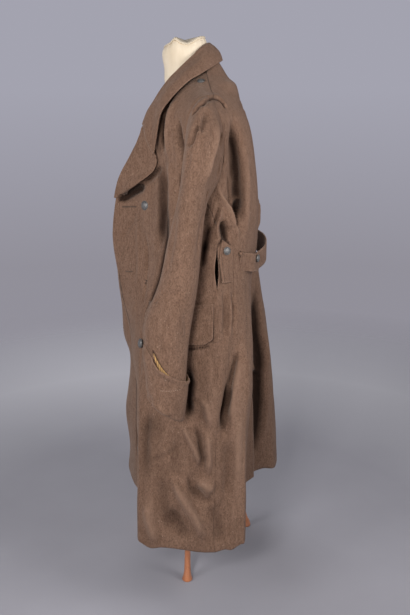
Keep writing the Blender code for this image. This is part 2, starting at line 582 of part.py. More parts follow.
def collar():
    """Collar: stand, crest and leaf as one folded wall, from one collar point round to the other."""
    left = np.array(COLLAR)
    right = left[:0:-1] * np.array([-1, 1, 1, -1, 1, 1, 1, 1])
    table = np.vstack([right, left])
    way = unit(np.gradient(table[:, :3], axis=0))
    section = []
    for row, along in zip(table, way):
        crest, edge, deep, inset = row[:3], row[3:6], row[6], row[7]
        up = unit(np.array([0, 0, 1.0]) - along * along[2])
        out = np.cross(along, up)
        out = out if out @ (edge - crest) > 0 else -out
        foot = crest - out * inset - up * deep
        stand = crest - out * 0.0055 - up * 0.0048
        over = crest + out * 0.0062 - up * 0.0042
        leaf = (over + edge) / 2 + out * 0.004 + up * 0.004
        section.append(spline((foot, stand, crest, over, leaf, edge), (1, 1, 1, 2, 2)))
    grid = np.stack(section)
    inside = (grid[:, 0] + grid[:, -1] + grid[:, 2]) / 3
    away = np.repeat(inside[:, None], grid.shape[1], axis=1)
    wall("collar", grid, normals_of(grid, away))


def flap(side, front, normal):
    """Pocket flap: the forepart's points moved out, with a rounded rear corner and a lifted lower edge."""
    columns, rows = 10, 5
    outer = np.zeros((rows, columns, 3))
    lean = np.zeros_like(outer)
    for c in range(columns):
        y = FLAP_Y[0] + (FLAP_Y[1] - FLAP_Y[0]) * c / (columns - 1)
        top = FLAP_TOP + (y - FLAP_Y[1]) * FLAP_SLOPE
        corner = min(1.0, (FLAP_Y[1] - y) / 0.022)
        low = FLAP_LOW + (y - FLAP_Y[1]) * FLAP_SLOPE * 0.6
        low += 0.014 * (1 - math.sqrt(max(0, 1 - (1 - corner) ** 2)))
        for r in range(rows):
            share = r / (rows - 1)
            point, out = at_y(front, normal, low + (top - low) * share, y)
            outer[r, c] = point + out * (0.0016 + FLAP_THICK + 0.004 * (1 - share))
            lean[r, c] = out
    wall(f"{'left' if side > 0 else 'right'}_flap", outer, lean, FLAP_THICK)


def tab(side, back, normal):
    """Pointed tab beside the slit, laid on the back half."""
    rows = 4
    outer = np.zeros((rows, len(TAB), 3))
    lean = np.zeros_like(outer)
    for c, (y, top, low) in enumerate(TAB):
        for r in range(rows):
            point, out = at_y(back, normal, low + (top - low) * r / (rows - 1), y)
            outer[r, c] = point + out * (LAID_ON * 2 + BELT_THICK)
            lean[r, c] = out
    wall(f"{'left' if side > 0 else 'right'}_tab", outer, lean, BELT_THICK)


def belt(name, stations):
    """Half belt: an upright strip along its stations."""
    path = spline(stations, [3] * (len(stations) - 1))
    offsets = np.linspace(-0.5, 0.5, 3) * BELT_HIGH
    grid = path[None] + np.array([0, 0, 1.0]) * offsets[:, None, None]
    wall(name, grid, normals_of(grid, np.array([0, -0.02, 0]) + grid * np.array([0, 0, 1])), BELT_THICK)


def button(name, point, out, radius=BUTTON_R, high=BUTTON_HIGH):
    """A domed button standing just off the cloth."""
    out = unit(np.asarray(out, float))
    side = unit(np.cross(out, [0, 0, 1.0] if abs(out[2]) < 0.9 else [1.0, 0, 0]))
    other = np.cross(out, side)
    turns = np.arange(12) * 2 * math.pi / 12
    rings = []
    for share, level in ((0.80, 0.0), (1.0, 0.3), (0.86, 0.72), (0.45, 1.0)):
        middle = point + out * (0.0018 + level * high)
        rings.append([middle + radius * share * (side * math.cos(a) + other * math.sin(a)) for a in turns])
    lathe(name, rings, HORN, 12)


def dress_form():
    """Torso with neck, its cap, the pole, the hub and three legs."""
    rings = []
    for i, (z, half, front_y, back_y) in enumerate(FORM):
        ring = []
        for k in range(FORM_SIDES):
            a = 2 * math.pi * k / FORM_SIDES
            c, s = math.cos(a), math.sin(a)
            x = half * math.copysign(abs(c) ** 0.95, c)
            y = (front_y + back_y) / 2 + (back_y - front_y) / 2 * math.copysign(abs(s) ** 0.95, s)
            slope = NECK_SLOPE * max(0, i - len(FORM) + 3) / 2
            ring.append((x, y, z + slope * (y - NECK_Y)))
        rings.append(ring)
    lathe("form_torso", rings, LINEN, FORM_SIDES)
    top = np.array(rings[-1])
    middle = top.mean(axis=0)
    cap = []
    for share, level in ((0.90, 0.0006), (0.96, 0.003), (0.90, 0.0065), (0.60, CAP_HIGH), (0.25, 0.010)):
        cap.append(middle + (top - middle) * share + np.array([0, 0, level]))
    lathe("form_cap", cap, LINEN, FORM_SIDES)
    turns = np.arange(16) * 2 * math.pi / 16
    circle = np.stack([np.cos(turns), np.sin(turns), np.zeros(16)], axis=1)
    axis = np.array([0, STAND_Y, 0])
    lathe("form_pole", [axis + circle * POLE_R + [0, 0, z] for z in (POLE_LOW, POLE_HIGH)], WOOD, 16)
    lathe("form_hub", [axis + circle * r + [0, 0, z] for z, r in HUB], WOOD, 16)
    for place, angle in LEG_ANGLES:
        a = math.radians(angle)
        out = np.array([math.cos(a), math.sin(a), 0])
        aside = np.array([-math.sin(a), math.cos(a), 0])
        path = [axis + out * r + np.array([0, 0, z]) for r, z, _ in LEG]
        path = spline(path, [1] * (len(path) - 1))
        along = unit(np.gradient(path, axis=0))
        across = unit(np.cross(along, aside))
        round_ = np.arange(FOOT_SIDES) * 2 * math.pi / FOOT_SIDES
        rings = []
        for point, way, (_, _, r) in zip(path, across, LEG):
            rings.append([point + r * (aside * math.cos(t) * 0.85 + way * math.sin(t)) for t in round_])
        foot = axis + out * (LEG[-1][0] + 0.002)
        for z, share in ((0.006, 1.0), (0.0, 0.9)):
            rim = FOOT_R * share
            rings.append([foot + (0, 0, z) + rim * (aside * math.cos(t) + out * math.sin(t)) for t in round_])
        lathe(f"form_leg_{place}", rings, WOOD, FOOT_SIDES)


dress_form()
collar()
for hand in (1, -1):
    word = "left" if hand > 0 else "right"
    fore, fore_out, rear, rear_out = body_half(hand)
    wall(f"{word}_front", fore, fore_out)
    wall(f"{word}_back", rear, rear_out)
    lapel(hand, fore, fore_out)
    half, half_out = sleeve_grid(hand, SEAM_FRONT + 0.3, SEAM_BACK - 0.3, 11)
    wall(f"{word}_top_sleeve", half, half_out)
    half, half_out = sleeve_grid(hand, SEAM_BACK + 0.3, 360 + SEAM_FRONT - 0.3, 9)
    wall(f"{word}_under_sleeve", half, half_out)
    cuff(hand)
    flap(hand, fore, fore_out)
    tab(hand, rear, rear_out)
    spot, way = at_y(rear, rear_out, BELT_START_Z, BELT_START_Y)
    belt(f"{word}_belt", (spot + way * BELT_STAND_OFF, *(LEFT_BELT if hand > 0 else RIGHT_BELT)))
    for label, which, y, z in FRONT_BUTTONS:
        if which == hand:
            spot, way = at_y(fore, fore_out, z, y)
            button(label, spot, way)
    spot, way = at_y(rear, rear_out, 0.973, 0.051)
    button(f"{word}_tab_button", spot + way * (LAID_ON * 2 + BELT_THICK), way, 0.0105, 0.0055)
    spot, way = on_shoulder(fore, fore_out, hand * SHOULDER_BUTTON_X, SHOULDER_BUTTON_Y)
    button(f"{word}_shoulder_button", spot, way, SHOULDER_BUTTON_R, 0.005)
button("belt_button", np.array(BELT_BUTTON), (0.37, 0.93, 0.0), 0.0105, 0.0055)
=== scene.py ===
# %% [markdown]
# A heavy wool greatcoat, double-breasted, hangs open-necked on a linen dress form with a varnished tripod.
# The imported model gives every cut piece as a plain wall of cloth. This lesson turns each wall into a soft
# sheet with creases, then adds buttons, stitches, wood and linen. We load the model first and never move it.

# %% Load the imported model
import json
import math

import bmesh
import bpy
import numpy as np
from mathutils import Matrix, Vector, noise
from mathutils.bvhtree import BVHTree
from mathutils.kdtree import KDTree

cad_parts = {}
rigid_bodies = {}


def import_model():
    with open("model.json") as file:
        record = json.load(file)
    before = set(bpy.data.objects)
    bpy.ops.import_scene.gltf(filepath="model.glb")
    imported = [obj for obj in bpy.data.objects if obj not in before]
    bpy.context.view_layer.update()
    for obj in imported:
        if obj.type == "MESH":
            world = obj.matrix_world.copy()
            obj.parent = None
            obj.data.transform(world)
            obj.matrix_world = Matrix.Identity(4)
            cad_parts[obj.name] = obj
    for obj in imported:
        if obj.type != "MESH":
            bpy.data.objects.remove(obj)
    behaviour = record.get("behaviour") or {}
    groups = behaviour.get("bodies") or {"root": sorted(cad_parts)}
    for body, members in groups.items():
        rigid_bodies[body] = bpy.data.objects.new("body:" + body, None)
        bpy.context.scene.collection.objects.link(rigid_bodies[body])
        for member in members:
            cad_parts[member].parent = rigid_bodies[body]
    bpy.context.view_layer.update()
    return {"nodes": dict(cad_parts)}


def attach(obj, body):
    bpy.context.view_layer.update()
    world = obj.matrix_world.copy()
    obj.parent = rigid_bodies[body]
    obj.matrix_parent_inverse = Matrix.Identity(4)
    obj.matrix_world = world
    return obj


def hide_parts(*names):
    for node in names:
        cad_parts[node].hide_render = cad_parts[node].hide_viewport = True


for left_over in list(bpy.data.objects):
    bpy.data.objects.remove(left_over, do_unlink=True)
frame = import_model()
NODES = frame["nodes"]

# %% [markdown]
# The camera stands at the wearer's left, a little above the shoulders, and looks slightly down. A focal
# length in pixels of the upright picture is turned into millimetres on a 36 mm sensor.

# %% Camera
EYE = (2.062, 0.0126, 1.361)
LOOK_DOWN = math.radians(16.17)
PICTURE_HIGH, FOCAL_PIXELS, SENSOR = 615, 750, 36.0


def in_scene(name, data):
    """An object in the scene that shows this data."""
    made = bpy.data.objects.new(name, data)
    bpy.context.scene.collection.objects.link(made)
    return made


lens = bpy.data.cameras.new("studio_camera")
lens.sensor_fit = "VERTICAL"
lens.sensor_width = SENSOR
lens.sensor_height = SENSOR
lens.lens = FOCAL_PIXELS / PICTURE_HIGH * SENSOR
camera = in_scene("studio_camera", lens)
camera.location = EYE
camera.rotation_euler = (math.pi / 2 - LOOK_DOWN, 0, math.pi / 2)
bpy.context.scene.camera = camera
print("lens:", round(lens.lens, 2), "mm")

# %% [markdown]
# Materials are small node trees. A few helpers keep them short: they plug a value or an output into a socket,
# add a node with its settings, and make noise on Object coordinates, stretched where threads or grain run.

# %% Helpers for node trees


def new_material(name):
    """A material with its tree, its shader and a node that gives Object coordinates."""
    made = bpy.data.materials.new(name)
    made.use_nodes = True
    tree = made.node_tree
    shader = tree.nodes["Principled BSDF"]
    place = tree.nodes.new("ShaderNodeTexCoord")
    return made, tree, shader, place.outputs["Object"]


def plug(tree, socket, source):
    """Link an output to a socket, or give the socket a plain value."""
    if hasattr(source, "is_output"):
        tree.links.new(source, socket)
    else:
        socket.default_value = source


def set_shader(tree, shader, sockets):
    """Plug a source into each named socket of a shader."""
    for name, source in sockets.items():
        plug(tree, shader.inputs[name], source)


def add(tree, kind, links=(), **values):
    """A node of that kind; links are (socket, source) pairs, values are plain settings."""
    made = tree.nodes.new("ShaderNode" + kind)
    for name, value in values.items():
        setattr(made, name, value)
    for socket, source in links:
        plug(tree, made.inputs[socket], source)
    return made


def grain(tree, place, scale, stretch=(1, 1, 1), detail=3.0, rough=0.55, turn=(0, 0, 0)):
    """Noise between 0 and 1, with that many lumps to the metre along each axis."""
    spread = add(tree, "Mapping", [("Vector", place), ("Scale", stretch), ("Rotation", turn)])
    links = [("Vector", spread.outputs[0]), ("Scale", scale), ("Detail", detail), ("Roughness", rough)]
    return add(tree, "TexNoise", links).outputs["Fac"]


def bands(tree, place, scale, wander, way):
    """Stripes across one direction, a little wavy."""
    links = [("Vector", place), ("Scale", scale), ("Distortion", wander)]
    return add(tree, "TexWave", links, wave_type="BANDS", bands_direction=way).outputs["Fac"]


def ramp(tree, source, low, high, start=0.0, end=1.0):
    """The source from low to high, as start to end, held at both ends."""
    links = [("Value", source), ("From Min", low), ("From Max", high), ("To Min", start), ("To Max", end)]
    return add(tree, "MapRange", links).outputs[0]


def mix(tree, share, one, other, way="MIX"):
    """A mix of two colours, each an output or its red, green and blue."""
    links = [(socket, (*source, 1.0) if isinstance(source, tuple) else source)
             for socket, source in ((0, share), (6, one), (7, other))]
    return add(tree, "Mix", links, data_type="RGBA", blend_type=way).outputs[2]


def maths(tree, way, one, other=0.0):
    """A sum on two values."""
    return add(tree, "Math", [(0, one), (1, other)], operation=way).outputs[0]


def bump(tree, height, distance, strength, under=None):
    """A bump node's normal, on top of another one if there is one under it."""
    links = [("Height", height), ("Distance", distance), ("Strength", strength)]
    if under is not None:
        links.append(("Normal", under))
    return add(tree, "Bump", links).outputs[0]


def painted(tree, name):
    """A value that was painted on the points."""
    return add(tree, "Attribute", attribute_name=name).outputs["Fac"]


# %% [markdown]
# Greatcoat wool is a fulled twill: the weave is nearly hidden under a felted nap. Seen close it is a mix of
# brown, grey and a few pale fibres; from a step away it is peppered and streaked along the warp. The colour
# also carries painted light: a painted highlight on ridges and near free edges, where the wool is also
# rubbed, and painted shade in the troughs and along shaded lines. Three attributes painted on the sheets
# later say
# where those are: "fold" is how far the creases raised a point, with the painted shade lines added, "rim" how
# far it lies from a free edge of its sheet, and "seam" how far from a dark line: the seams at the shoulder
# and the sleeve head, and painted shade in the groove under the armhole's roll and in the cuff's gap.

# %% Wool; a layer has lumps to the metre, stretch along the warp, detail, roughness, range, share and colour
WOOL_MID, WOOL_DARK, WOOL_PALE = (0.150, 0.087, 0.058), (0.066, 0.036, 0.023), (0.262, 0.166, 0.118)
BELT_MID, LINT = (0.162, 0.095, 0.064), (0.40, 0.30, 0.23)
WOOL_LAYERS = {
    "blotch": (11, 0.6, 4.0, 0.55, 0.32, 0.68, 0.34, WOOL_DARK),
    "streak": (210, 0.05, 2.0, 0.55, 0.30, 0.70, 0.34, WOOL_DARK),
    "mottle": (120, 0.5, 4.0, 0.65, 0.34, 0.66, 0.28, WOOL_PALE),
    "pepper": (330, 0.6, 2.0, 0.6, 0.50, 0.64, 0.62, WOOL_DARK),
    "fleck": (300, 0.6, 2.0, 0.6, 0.54, 0.68, 0.24, WOOL_PALE),
    "lint": (200, 1, 1.0, 0.4, 0.72, 0.78, 0.28, LINT),
}
FLECK_TURN = (0.4, 0.9, 0.2)
STITCH_IN = 0.0068
SHEEN_TINT = (0.86, 0.72, 0.62, 1.0)


def wool(name, mid):
    """Felted twill with flecks, streaks, a sewn line by each edge, painted highlight and painted shade."""
    made, tree, shader, place = new_material(name)
    colour, seen = mid, {}
    for layer, (scale, warp, detail, rough, low, high, share, tint) in WOOL_LAYERS.items():
        turn = FLECK_TURN if layer == "fleck" else (0, 0, 0)
        seen[layer] = ramp(tree, grain(tree, place, scale, (1, 1, warp), detail, rough, turn), low, high)
        colour = mix(tree, ramp(tree, seen[layer], 0, 1, 0.0, share), colour, tint)
    fold, rim, seam = (painted(tree, name) for name in ("fold", "rim", "seam"))
    # Painted shade: the troughs of the creases and the shaded lines darken the wool.
    colour = mix(tree, ramp(tree, fold, -0.023, -0.005, 0.90, 0.0), colour, WOOL_DARK, "MULTIPLY")
    # Painted highlight on the ridges, where the nap is also rubbed.
    colour = mix(tree, ramp(tree, fold, 0.002, 0.013, 0.0, 0.36), colour, WOOL_PALE)
    # Painted highlight near the free edges, where the wool is also rubbed.
    colour = mix(tree, ramp(tree, rim, 0.0, 0.0032, 0.28, 0.0), colour, WOOL_PALE)
    # Painted shade in the groove under the armhole's roll and in the cuff's gap; dark seams at shoulder and
    # sleeve head.
    colour = mix(tree, ramp(tree, seam, 0.0008, 0.0042, 0.90, 0.0), colour, WOOL_DARK, "MULTIPLY")
    beside = maths(tree, "ABSOLUTE", maths(tree, "SUBTRACT", rim, STITCH_IN))
    sewn = ramp(tree, beside, 0.0004, 0.0018, 1.0, 0.0)
    nap = grain(tree, place, 950, (1, 1, 0.7), 3.0, 0.7)
    normal = bump(tree, bands(tree, place, 210.0, 1.6, "DIAGONAL"), 0.0004, 0.22)
    normal = bump(tree, nap, 0.0010, 0.60, normal)
    normal = bump(tree, seen["mottle"], 0.0014, 0.50, normal)
    normal = bump(tree, sewn, 0.0012, -0.60, normal)
    rough = ramp(tree, seen["mottle"], 0, 1, 0.98, 0.86)
    set_shader(tree, shader, {"Base Color": colour, "Normal": normal, "Roughness": rough,
                              "Specular IOR Level": 0.15, "Sheen Weight": 0.14, "Sheen Roughness": 0.45,
                              "Sheen Tint": SHEEN_TINT})
    return made


WOOL = wool("coat_wool_finish", WOOL_MID)
BELT_WOOL = wool("coat_wool_belt_finish", BELT_MID)
print("wool materials:", WOOL.name, BELT_WOOL.name)

# %% [markdown]
# Inside the turned-back cuff a strip of striped cotton shows. Buttons are domed metal gone dull, thread is
# waxed and dark, linen covers the form and the stand is varnished wood. Each is one small tree.

# %% Lining, thread, metal, linen and wood


def lining():
    """Ochre cotton with narrow woven stripes."""
    made, tree, shader, place = new_material("cuff_lining_finish")
    stripe = bands(tree, place, 62.0, 0.6, "Y")
    colour = mix(tree, ramp(tree, stripe, 0.55, 0.75), (0.42, 0.25, 0.085), (0.16, 0.085, 0.035))
    colour = mix(tree, ramp(tree, grain(tree, place, 60), 0.35, 0.7, 0.0, 0.4), colour, (0.24, 0.15, 0.07))
    weave = bump(tree, grain(tree, place, 1400), 0.0004, 0.4)
    set_shader(tree, shader, {"Base Color": colour, "Normal": weave, "Roughness": 0.8})
    return made


def thread(name, pale, dark):
    """Sewing thread, uneven along its length."""
    made, tree, shader, place = new_material(name)
    colour = mix(tree, ramp(tree, grain(tree, place, 300), 0.35, 0.65), pale, dark)
    twist = bump(tree, grain(tree, place, 2500), 0.0002, 0.6)
    set_shader(tree, shader, {"Base Color": colour, "Normal": twist, "Roughness": 0.75})
    return made


def dull_metal():
    """Pressed grey metal, rubbed bright on the dome, dark where dirt stays."""
    made, tree, shader, place = new_material("button_metal_finish")
    dirt = ramp(tree, grain(tree, place, 260, (1, 1, 1), 4.0, 0.6), 0.38, 0.66)
    colour = mix(tree, ramp(tree, dirt, 0, 1, 0.0, 0.75), (0.185, 0.183, 0.180), (0.060, 0.059, 0.058))
    groove = ramp(tree, painted(tree, "rim"), 0.0, 1.0, 0.8, 0.0)
    colour = mix(tree, groove, colour, (0.040, 0.037, 0.034))
    pits = bump(tree, grain(tree, place, 700, detail=2.0), 0.0003, 0.4)
    set_shader(tree, shader, {"Base Color": colour, "Normal": pits, "Metallic": 0.55,
                              "Roughness": ramp(tree, dirt, 0, 1, 0.34, 0.62)})
    return made


def linen():
    """Cream linen with a plain weave, faintly soiled."""
    made, tree, shader, place = new_material("form_linen_finish")
    soil = ramp(tree, grain(tree, place, 16, (1, 1, 0.5), 4.0), 0.45, 0.75)
    slub = ramp(tree, grain(tree, place, 260, (1, 1, 0.08), 2.0), 0.5, 0.8)
    colour = mix(tree, ramp(tree, soil, 0, 1, 0.0, 0.55), (0.60, 0.52, 0.40), (0.44, 0.355, 0.235))
    colour = mix(tree, ramp(tree, slub, 0, 1, 0.0, 0.25), colour, (0.50, 0.42, 0.30))
    across = grain(tree, place, 900, (1, 1, 0.12), 1.0)
    along = grain(tree, place, 900, (0.12, 0.12, 1), 1.0)
    weave = bump(tree, maths(tree, "ADD", across, along), 0.0006, 0.5)
    set_shader(tree, shader, {"Base Color": colour, "Normal": bump(tree, soil, 0.002, 0.25, weave),
                              "Roughness": 0.92})
    return made


def varnished_wood():
    """Orange-brown turned wood: long grain under a clear coat, darker in the pores."""
    made, tree, shader, place = new_material("stand_wood_finish")
    long = grain(tree, place, 34, (1, 1, 0.07), 5.0, 0.6)
    pore = ramp(tree, grain(tree, place, 420, (1, 1, 0.03), 2.0), 0.56, 0.70)
    colour = mix(tree, ramp(tree, long, 0.34, 0.66), (0.54, 0.205, 0.085), (0.32, 0.112, 0.045))
    colour = mix(tree, ramp(tree, pore, 0, 1, 0.0, 0.55), colour, (0.18, 0.058, 0.02))
    set_shader(tree, shader, {"Base Color": colour, "Normal": bump(tree, pore, 0.0003, -0.25),
                              "Roughness": ramp(tree, pore, 0, 1, 0.30, 0.48),
                              "Coat Weight": 0.8, "Coat Roughness": 0.12})
    return made


LINING, METAL, LINEN, WOOD = lining(), dull_metal(), linen(), varnished_wood()
PALE_THREAD = thread("pale_thread_finish", (0.40, 0.32, 0.25), (0.26, 0.19, 0.14))
# The dark thread also draws the painted shade in the buttonholes' slits.
DARK_THREAD_AND_SLIT_SHADE = thread("dark_thread_and_slit_shade_finish", (0.050, 0.034, 0.025), (0.022, 0.015, 0.011))
HOLE_THREAD = thread("buttonhole_thread_finish", (0.110, 0.070, 0.048), (0.060, 0.036, 0.024))
print("materials:", len(bpy.data.materials))

# %% [markdown]
# A wall of cloth has an outer face, an inner face and a rim between them. The sheet we drape is the outer
# face alone. The rim's faces are easy to find, because each has an edge as short as the cloth is thick.
# Without them the wall falls into two islands; we keep the one that faces out and turn its triangles back
# into quads, which subdivide smoothly.

# %% Take the outer face of a wall
WELD = 0.00002
FACE_AXIS_Y = -0.03
RIM_WITHIN = 1.15


def islands_of(shape):
    """Groups of faces that hang together."""
    left, found = set(shape.faces), []
    while left:
        group, waiting = set(), [left.pop()]
        while waiting:
            face = waiting.pop()
            group.add(face)
            for side in face.edges:
                for other in side.link_faces:
                    if other in left:
                        left.remove(other)
                        waiting.append(other)
        found.append(group)
    return found


def faces_out(group):
    """How strongly a group of faces looks away from the upright axis of the coat."""
    axis = Vector((0, FACE_AXIS_Y, 0))
    total = 0.0
    for face in group:
        way = face.calc_center_median() - axis
        total += face.calc_area() * face.normal.dot(Vector((way.x, way.y, 0)))
    return total


def welded(node):
    """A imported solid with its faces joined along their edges."""
    shape = bmesh.new()
    shape.from_mesh(NODES[node].data)
    bmesh.ops.remove_doubles(shape, verts=shape.verts, dist=WELD)
    return shape


def into_quads(shape):
    """Join the shape's triangles in pairs."""
    bmesh.ops.join_triangles(shape, faces=shape.faces, angle_face_threshold=math.pi,
                             angle_shape_threshold=math.pi)
    return shape


def outer_face(node, thick, curled):
    """The outer face of a cloth wall as quads. A curled piece is told by area, a flat one by direction."""
    shape = welded(node)
    shape.normal_update()
    rim = [f for f in shape.faces if min(e.calc_length() for e in f.edges) < thick * RIM_WITHIN]
    bmesh.ops.delete(shape, geom=rim, context="FACES")
    sides = sorted(islands_of(shape), key=lambda g: sum(f.calc_area() for f in g))[-2:]
    kept = sides[-1] if curled else max(sides, key=faces_out)
    bmesh.ops.delete(shape, geom=[f for f in shape.faces if f not in kept], context="FACES")
    return into_quads(shape)


# %% [markdown]
# Catmull-Clark subdivision pulls a shape in from its points, so a subdivided sheet would sit inside its wall.
# The cure is to push each point out by the error, a few times, until the smooth sheet passes through the
# places where the wall's points were.

# %% Smooth a sheet through its own points


def columns(values, key):
    """The x, y and z of a mesh's points or normals as an array."""
    found = np.empty(len(values) * 3)
    values.foreach_get(key, found)
    return found.reshape(-1, 3)


def positions(mesh):
    """A mesh's points as an array."""
    return columns(mesh.vertices, "co")


def move_to(mesh, points):
    """Put a mesh's points elsewhere."""
    mesh.vertices.foreach_set("co", points.ravel())
    mesh.update()


def mesh_of(shape, name):
    """The shape as a mesh. Frees the shape."""
    mesh = bpy.data.meshes.new(name)
    shape.to_mesh(mesh)
    shape.free()
    return mesh


def shade_smooth(mesh):
    """Shade all faces of a mesh smooth."""
    for face in mesh.polygons:
        face.use_smooth = True
    return mesh


def smooth_through(shape, levels, rounds=4):
    """A finely subdivided mesh whose surface passes through the shape's points. Frees the shape."""
    mesh = mesh_of(shape, "draft")
    draft = in_scene("draft", mesh)
    round_off = draft.modifiers.new("round_off", "SUBSURF")
    round_off.levels = round_off.render_levels = 1
    round_off.boundary_smooth = "PRESERVE_CORNERS"
    wanted = positions(mesh)
    for _ in range(rounds):
        seen = draft.evaluated_get(bpy.context.evaluated_depsgraph_get()).data
        move_to(mesh, positions(mesh) + wanted - positions(seen)[:len(wanted)])
        draft.update_tag()
    round_off.levels = round_off.render_levels = levels
    fine = bpy.data.meshes.new_from_object(draft.evaluated_get(bpy.context.evaluated_depsgraph_get()))
    bpy.data.objects.remove(draft, do_unlink=True)
    bpy.data.meshes.remove(mesh)
    return shade_smooth(fine)


# %% [markdown]
# Each crease is a short path seen from one side of the coat, with its own half width and height: above zero
# for a ridge, below for a trough. Heavy wool makes soft ones, so each is a smooth bell across and fades at
# both ends. Most of those on the wearer's left were picked in the picture and carried onto the packed
# walls with rays from the camera, to the nearest millimetre. The hidden sides get similar uneven ones.

# %% Creases of the wearer's left, in millimetres: half width, height, then the path's places in y and z
LEFT_CREASES = (
    (13, -24, (-50, 1305), (-56, 1276), (-51, 1243), (-44, 1215), (-42, 1184), (-47, 1150)),
    (5, -14, (-43, 1212), (-42, 1184), (-47, 1146)),
    (17, -13, (-94, 1207), (-93, 1153), (-95, 1091), (-103, 1002), (-116, 928)),
    (12, 8, (-76, 1194), (-72, 1140), (-76, 1094)),
    (6, -5, (-145, 1016), (-143, 937), (-146, 870), (-155, 789)),
    (7, 5, (-164, 1045), (-166, 972), (-164, 913), (-171, 836)),
    (6, -4, (-161, 760), (-160, 700), (-163, 650), (-159, 600)),
    (6, 2, (-205, 1005), (-160, 1040)),
    (6, 2, (-223, 935), (-170, 963)),
    (6, -8, (-165, 1046), (-194, 1006), (-217, 965)),
    (5, -8, (-144, 962), (-143, 918), (-145, 884)),
    (11, -24, (82, 1310), (84, 1262), (87, 1218), (90, 1169), (93, 1119), (97, 1069), (99, 1030)),
    (6, -11, (70, 1170), (74, 1135), (79, 1100), (81, 1060)),
    (11, 6, (112, 1241), (118, 1144), (117, 1056), (115, 979)),
    (8, -15, (96, 1104), (91, 1077), (86, 1051), (92, 1020)),
    (5, 9, (78, 1077), (91, 1094), (101, 1106)),
    (7, 13, (40, 1145), (52, 1108), (68, 1078), (80, 1045), (94, 1011), (99, 985)),
    (6, -10, (50, 1094), (42, 1060), (33, 1028)),
    (5, 9, (55, 1091), (50, 1065), (45, 1040), (43, 1021), (52, 1002)),
    (9, -23, (54, 1056), (56, 1036), (62, 1014), (72, 996)),
    (6, -6, (65, 1035), (78, 1018)),
    (9, -13, (28, 1050), (20, 1026), (15, 1001), (8, 965)),
    (9, -9, (8, 1000), (6, 968), (2, 930)),
    (6, -4, (30, 1011), (33, 948)),
    (4, 4, (-60, 850.5), (-10, 849.5), (34, 851.5)),
    (13, -22, (-33, 690), (-31, 645), (-34, 602), (-30, 570), (-18, 545)),
    (4, -5, (-18, 606), (-10, 589)),
    (8, 9, (-3, 605), (15, 586), (20, 555), (23, 532)),
    (7, -6, (0, 575), (7, 555), (15, 532)),
    (6, -14, (94, 720), (85, 668), (77, 622)),
    (12, -21, (79, 650), (72, 600), (62, 561), (59, 530), (64, 495)),
    (10, 9, (105, 714), (100, 665), (92, 615), (82, 564), (82, 521)),
    (7, 13, (-50, 550), (-31, 508), (-16, 480), (-5, 453), (2, 415)),
    (8, -16, (-14, 545), (0, 500), (7, 452), (0, 405)),
    (9, 13, (15, 525), (22, 480), (23, 447), (18, 400)),
    (14, 15, (-16, 392), (13, 381), (40, 362)),
    (9, -12, (-32, 415), (-20, 372), (10, 342), (46, 336)),
    (12, -10, (74, 500), (75, 413), (70, 330)),
    (20, -12, (-108, 405), (-100, 350), (-88, 300), (-76, 240)),
    (11, 18, (-82, 425), (-57, 370), (-34, 329), (-8, 290), (18, 230)),
    (19, -12, (-76, 330), (-57, 287), (-35, 232)),
    (26, -11, (26, 345), (46, 285), (64, 205)),
    (13, 14, (-138, 335), (-131, 284), (-114, 225)),
    (7, -4, (-135, 430), (-91, 455), (-58, 475)),
    (13, 5, (103, 560), (98, 493), (96, 380)),
    (7, -10, (59, 890), (64, 826), (60, 745)),
    (7, 7, (71, 880), (74, 800), (69, 735)),
    (6, -8, (83, 880), (86, 820), (81, 760)),
    (10, -5, (40, 730), (35, 685), (41, 615)),
    (12, -5, (-140, 575), (-142, 481), (-139, 384)),
    (13, 4, (-91, 540), (-83, 410)),
    (8, 5, (83, 330), (90, 190)),
    (24, 8, (106, 720), (100, 560), (96, 380), (100, 230)),
    (22, 7, (30, 730), (32, 640), (34, 560), (30, 470)),
    (26, 7, (-118, 560), (-120, 420), (-125, 250)),
    (20, -6, (-70, 520), (-62, 420), (-60, 340)),
    (28, 5, (-150, 1150), (-140, 1050), (-138, 950)),
    (7, -15, (-56, 1362), (-78, 1334), (-90, 1313), (-96, 1283), (-98, 1251), (-94, 1196)),
    (11, 10, (-49, 1347), (-67, 1323), (-76, 1294), (-80, 1260), (-79, 1226), (-78, 1185)),
    (8, -10, (-98, 1180), (-112, 1158), (-134, 1136), (-157, 1120)),
    (11, -20, (-140, 1122), (-163, 1107), (-186, 1094), (-206, 1082), (-226, 1068)),
)
print("creases on the left:", len(LEFT_CREASES))

# %% Creases of the other sides, in the same columns; seen from the back or the front, places are in x and z
RIGHT_CREASES = (
    (11, -10, (-54, 1290), (-46, 1225), (-44, 1160)),
    (14, -6, (-88, 1180), (-96, 1100), (-110, 1000)),
    (12, -12, (80, 1270), (90, 1200), (86, 1100)),
    (7, 8, (46, 1120), (68, 1070), (95, 1010)),
    (9, -10, (56, 1050), (68, 1000)),
    (8, -5, (-150, 1010), (-146, 920), (-152, 800)),
    (10, -10, (-36, 620), (-30, 550), (-20, 500)),
    (9, 8, (-58, 570), (-40, 490), (-15, 420)),
    (7, -8, (-16, 500), (-4, 440), (-10, 370)),
    (10, -10, (70, 740), (66, 660), (52, 580), (56, 490)),
    (14, 7, (100, 660), (108, 530), (104, 400)),
    (9, 9, (-70, 360), (-36, 300), (10, 200)),
    (11, -8, (-105, 420), (-90, 330), (-78, 200)),
    (11, -8, (36, 400), (46, 300), (60, 190)),
    (12, 5, (-130, 600), (-136, 440)),
)
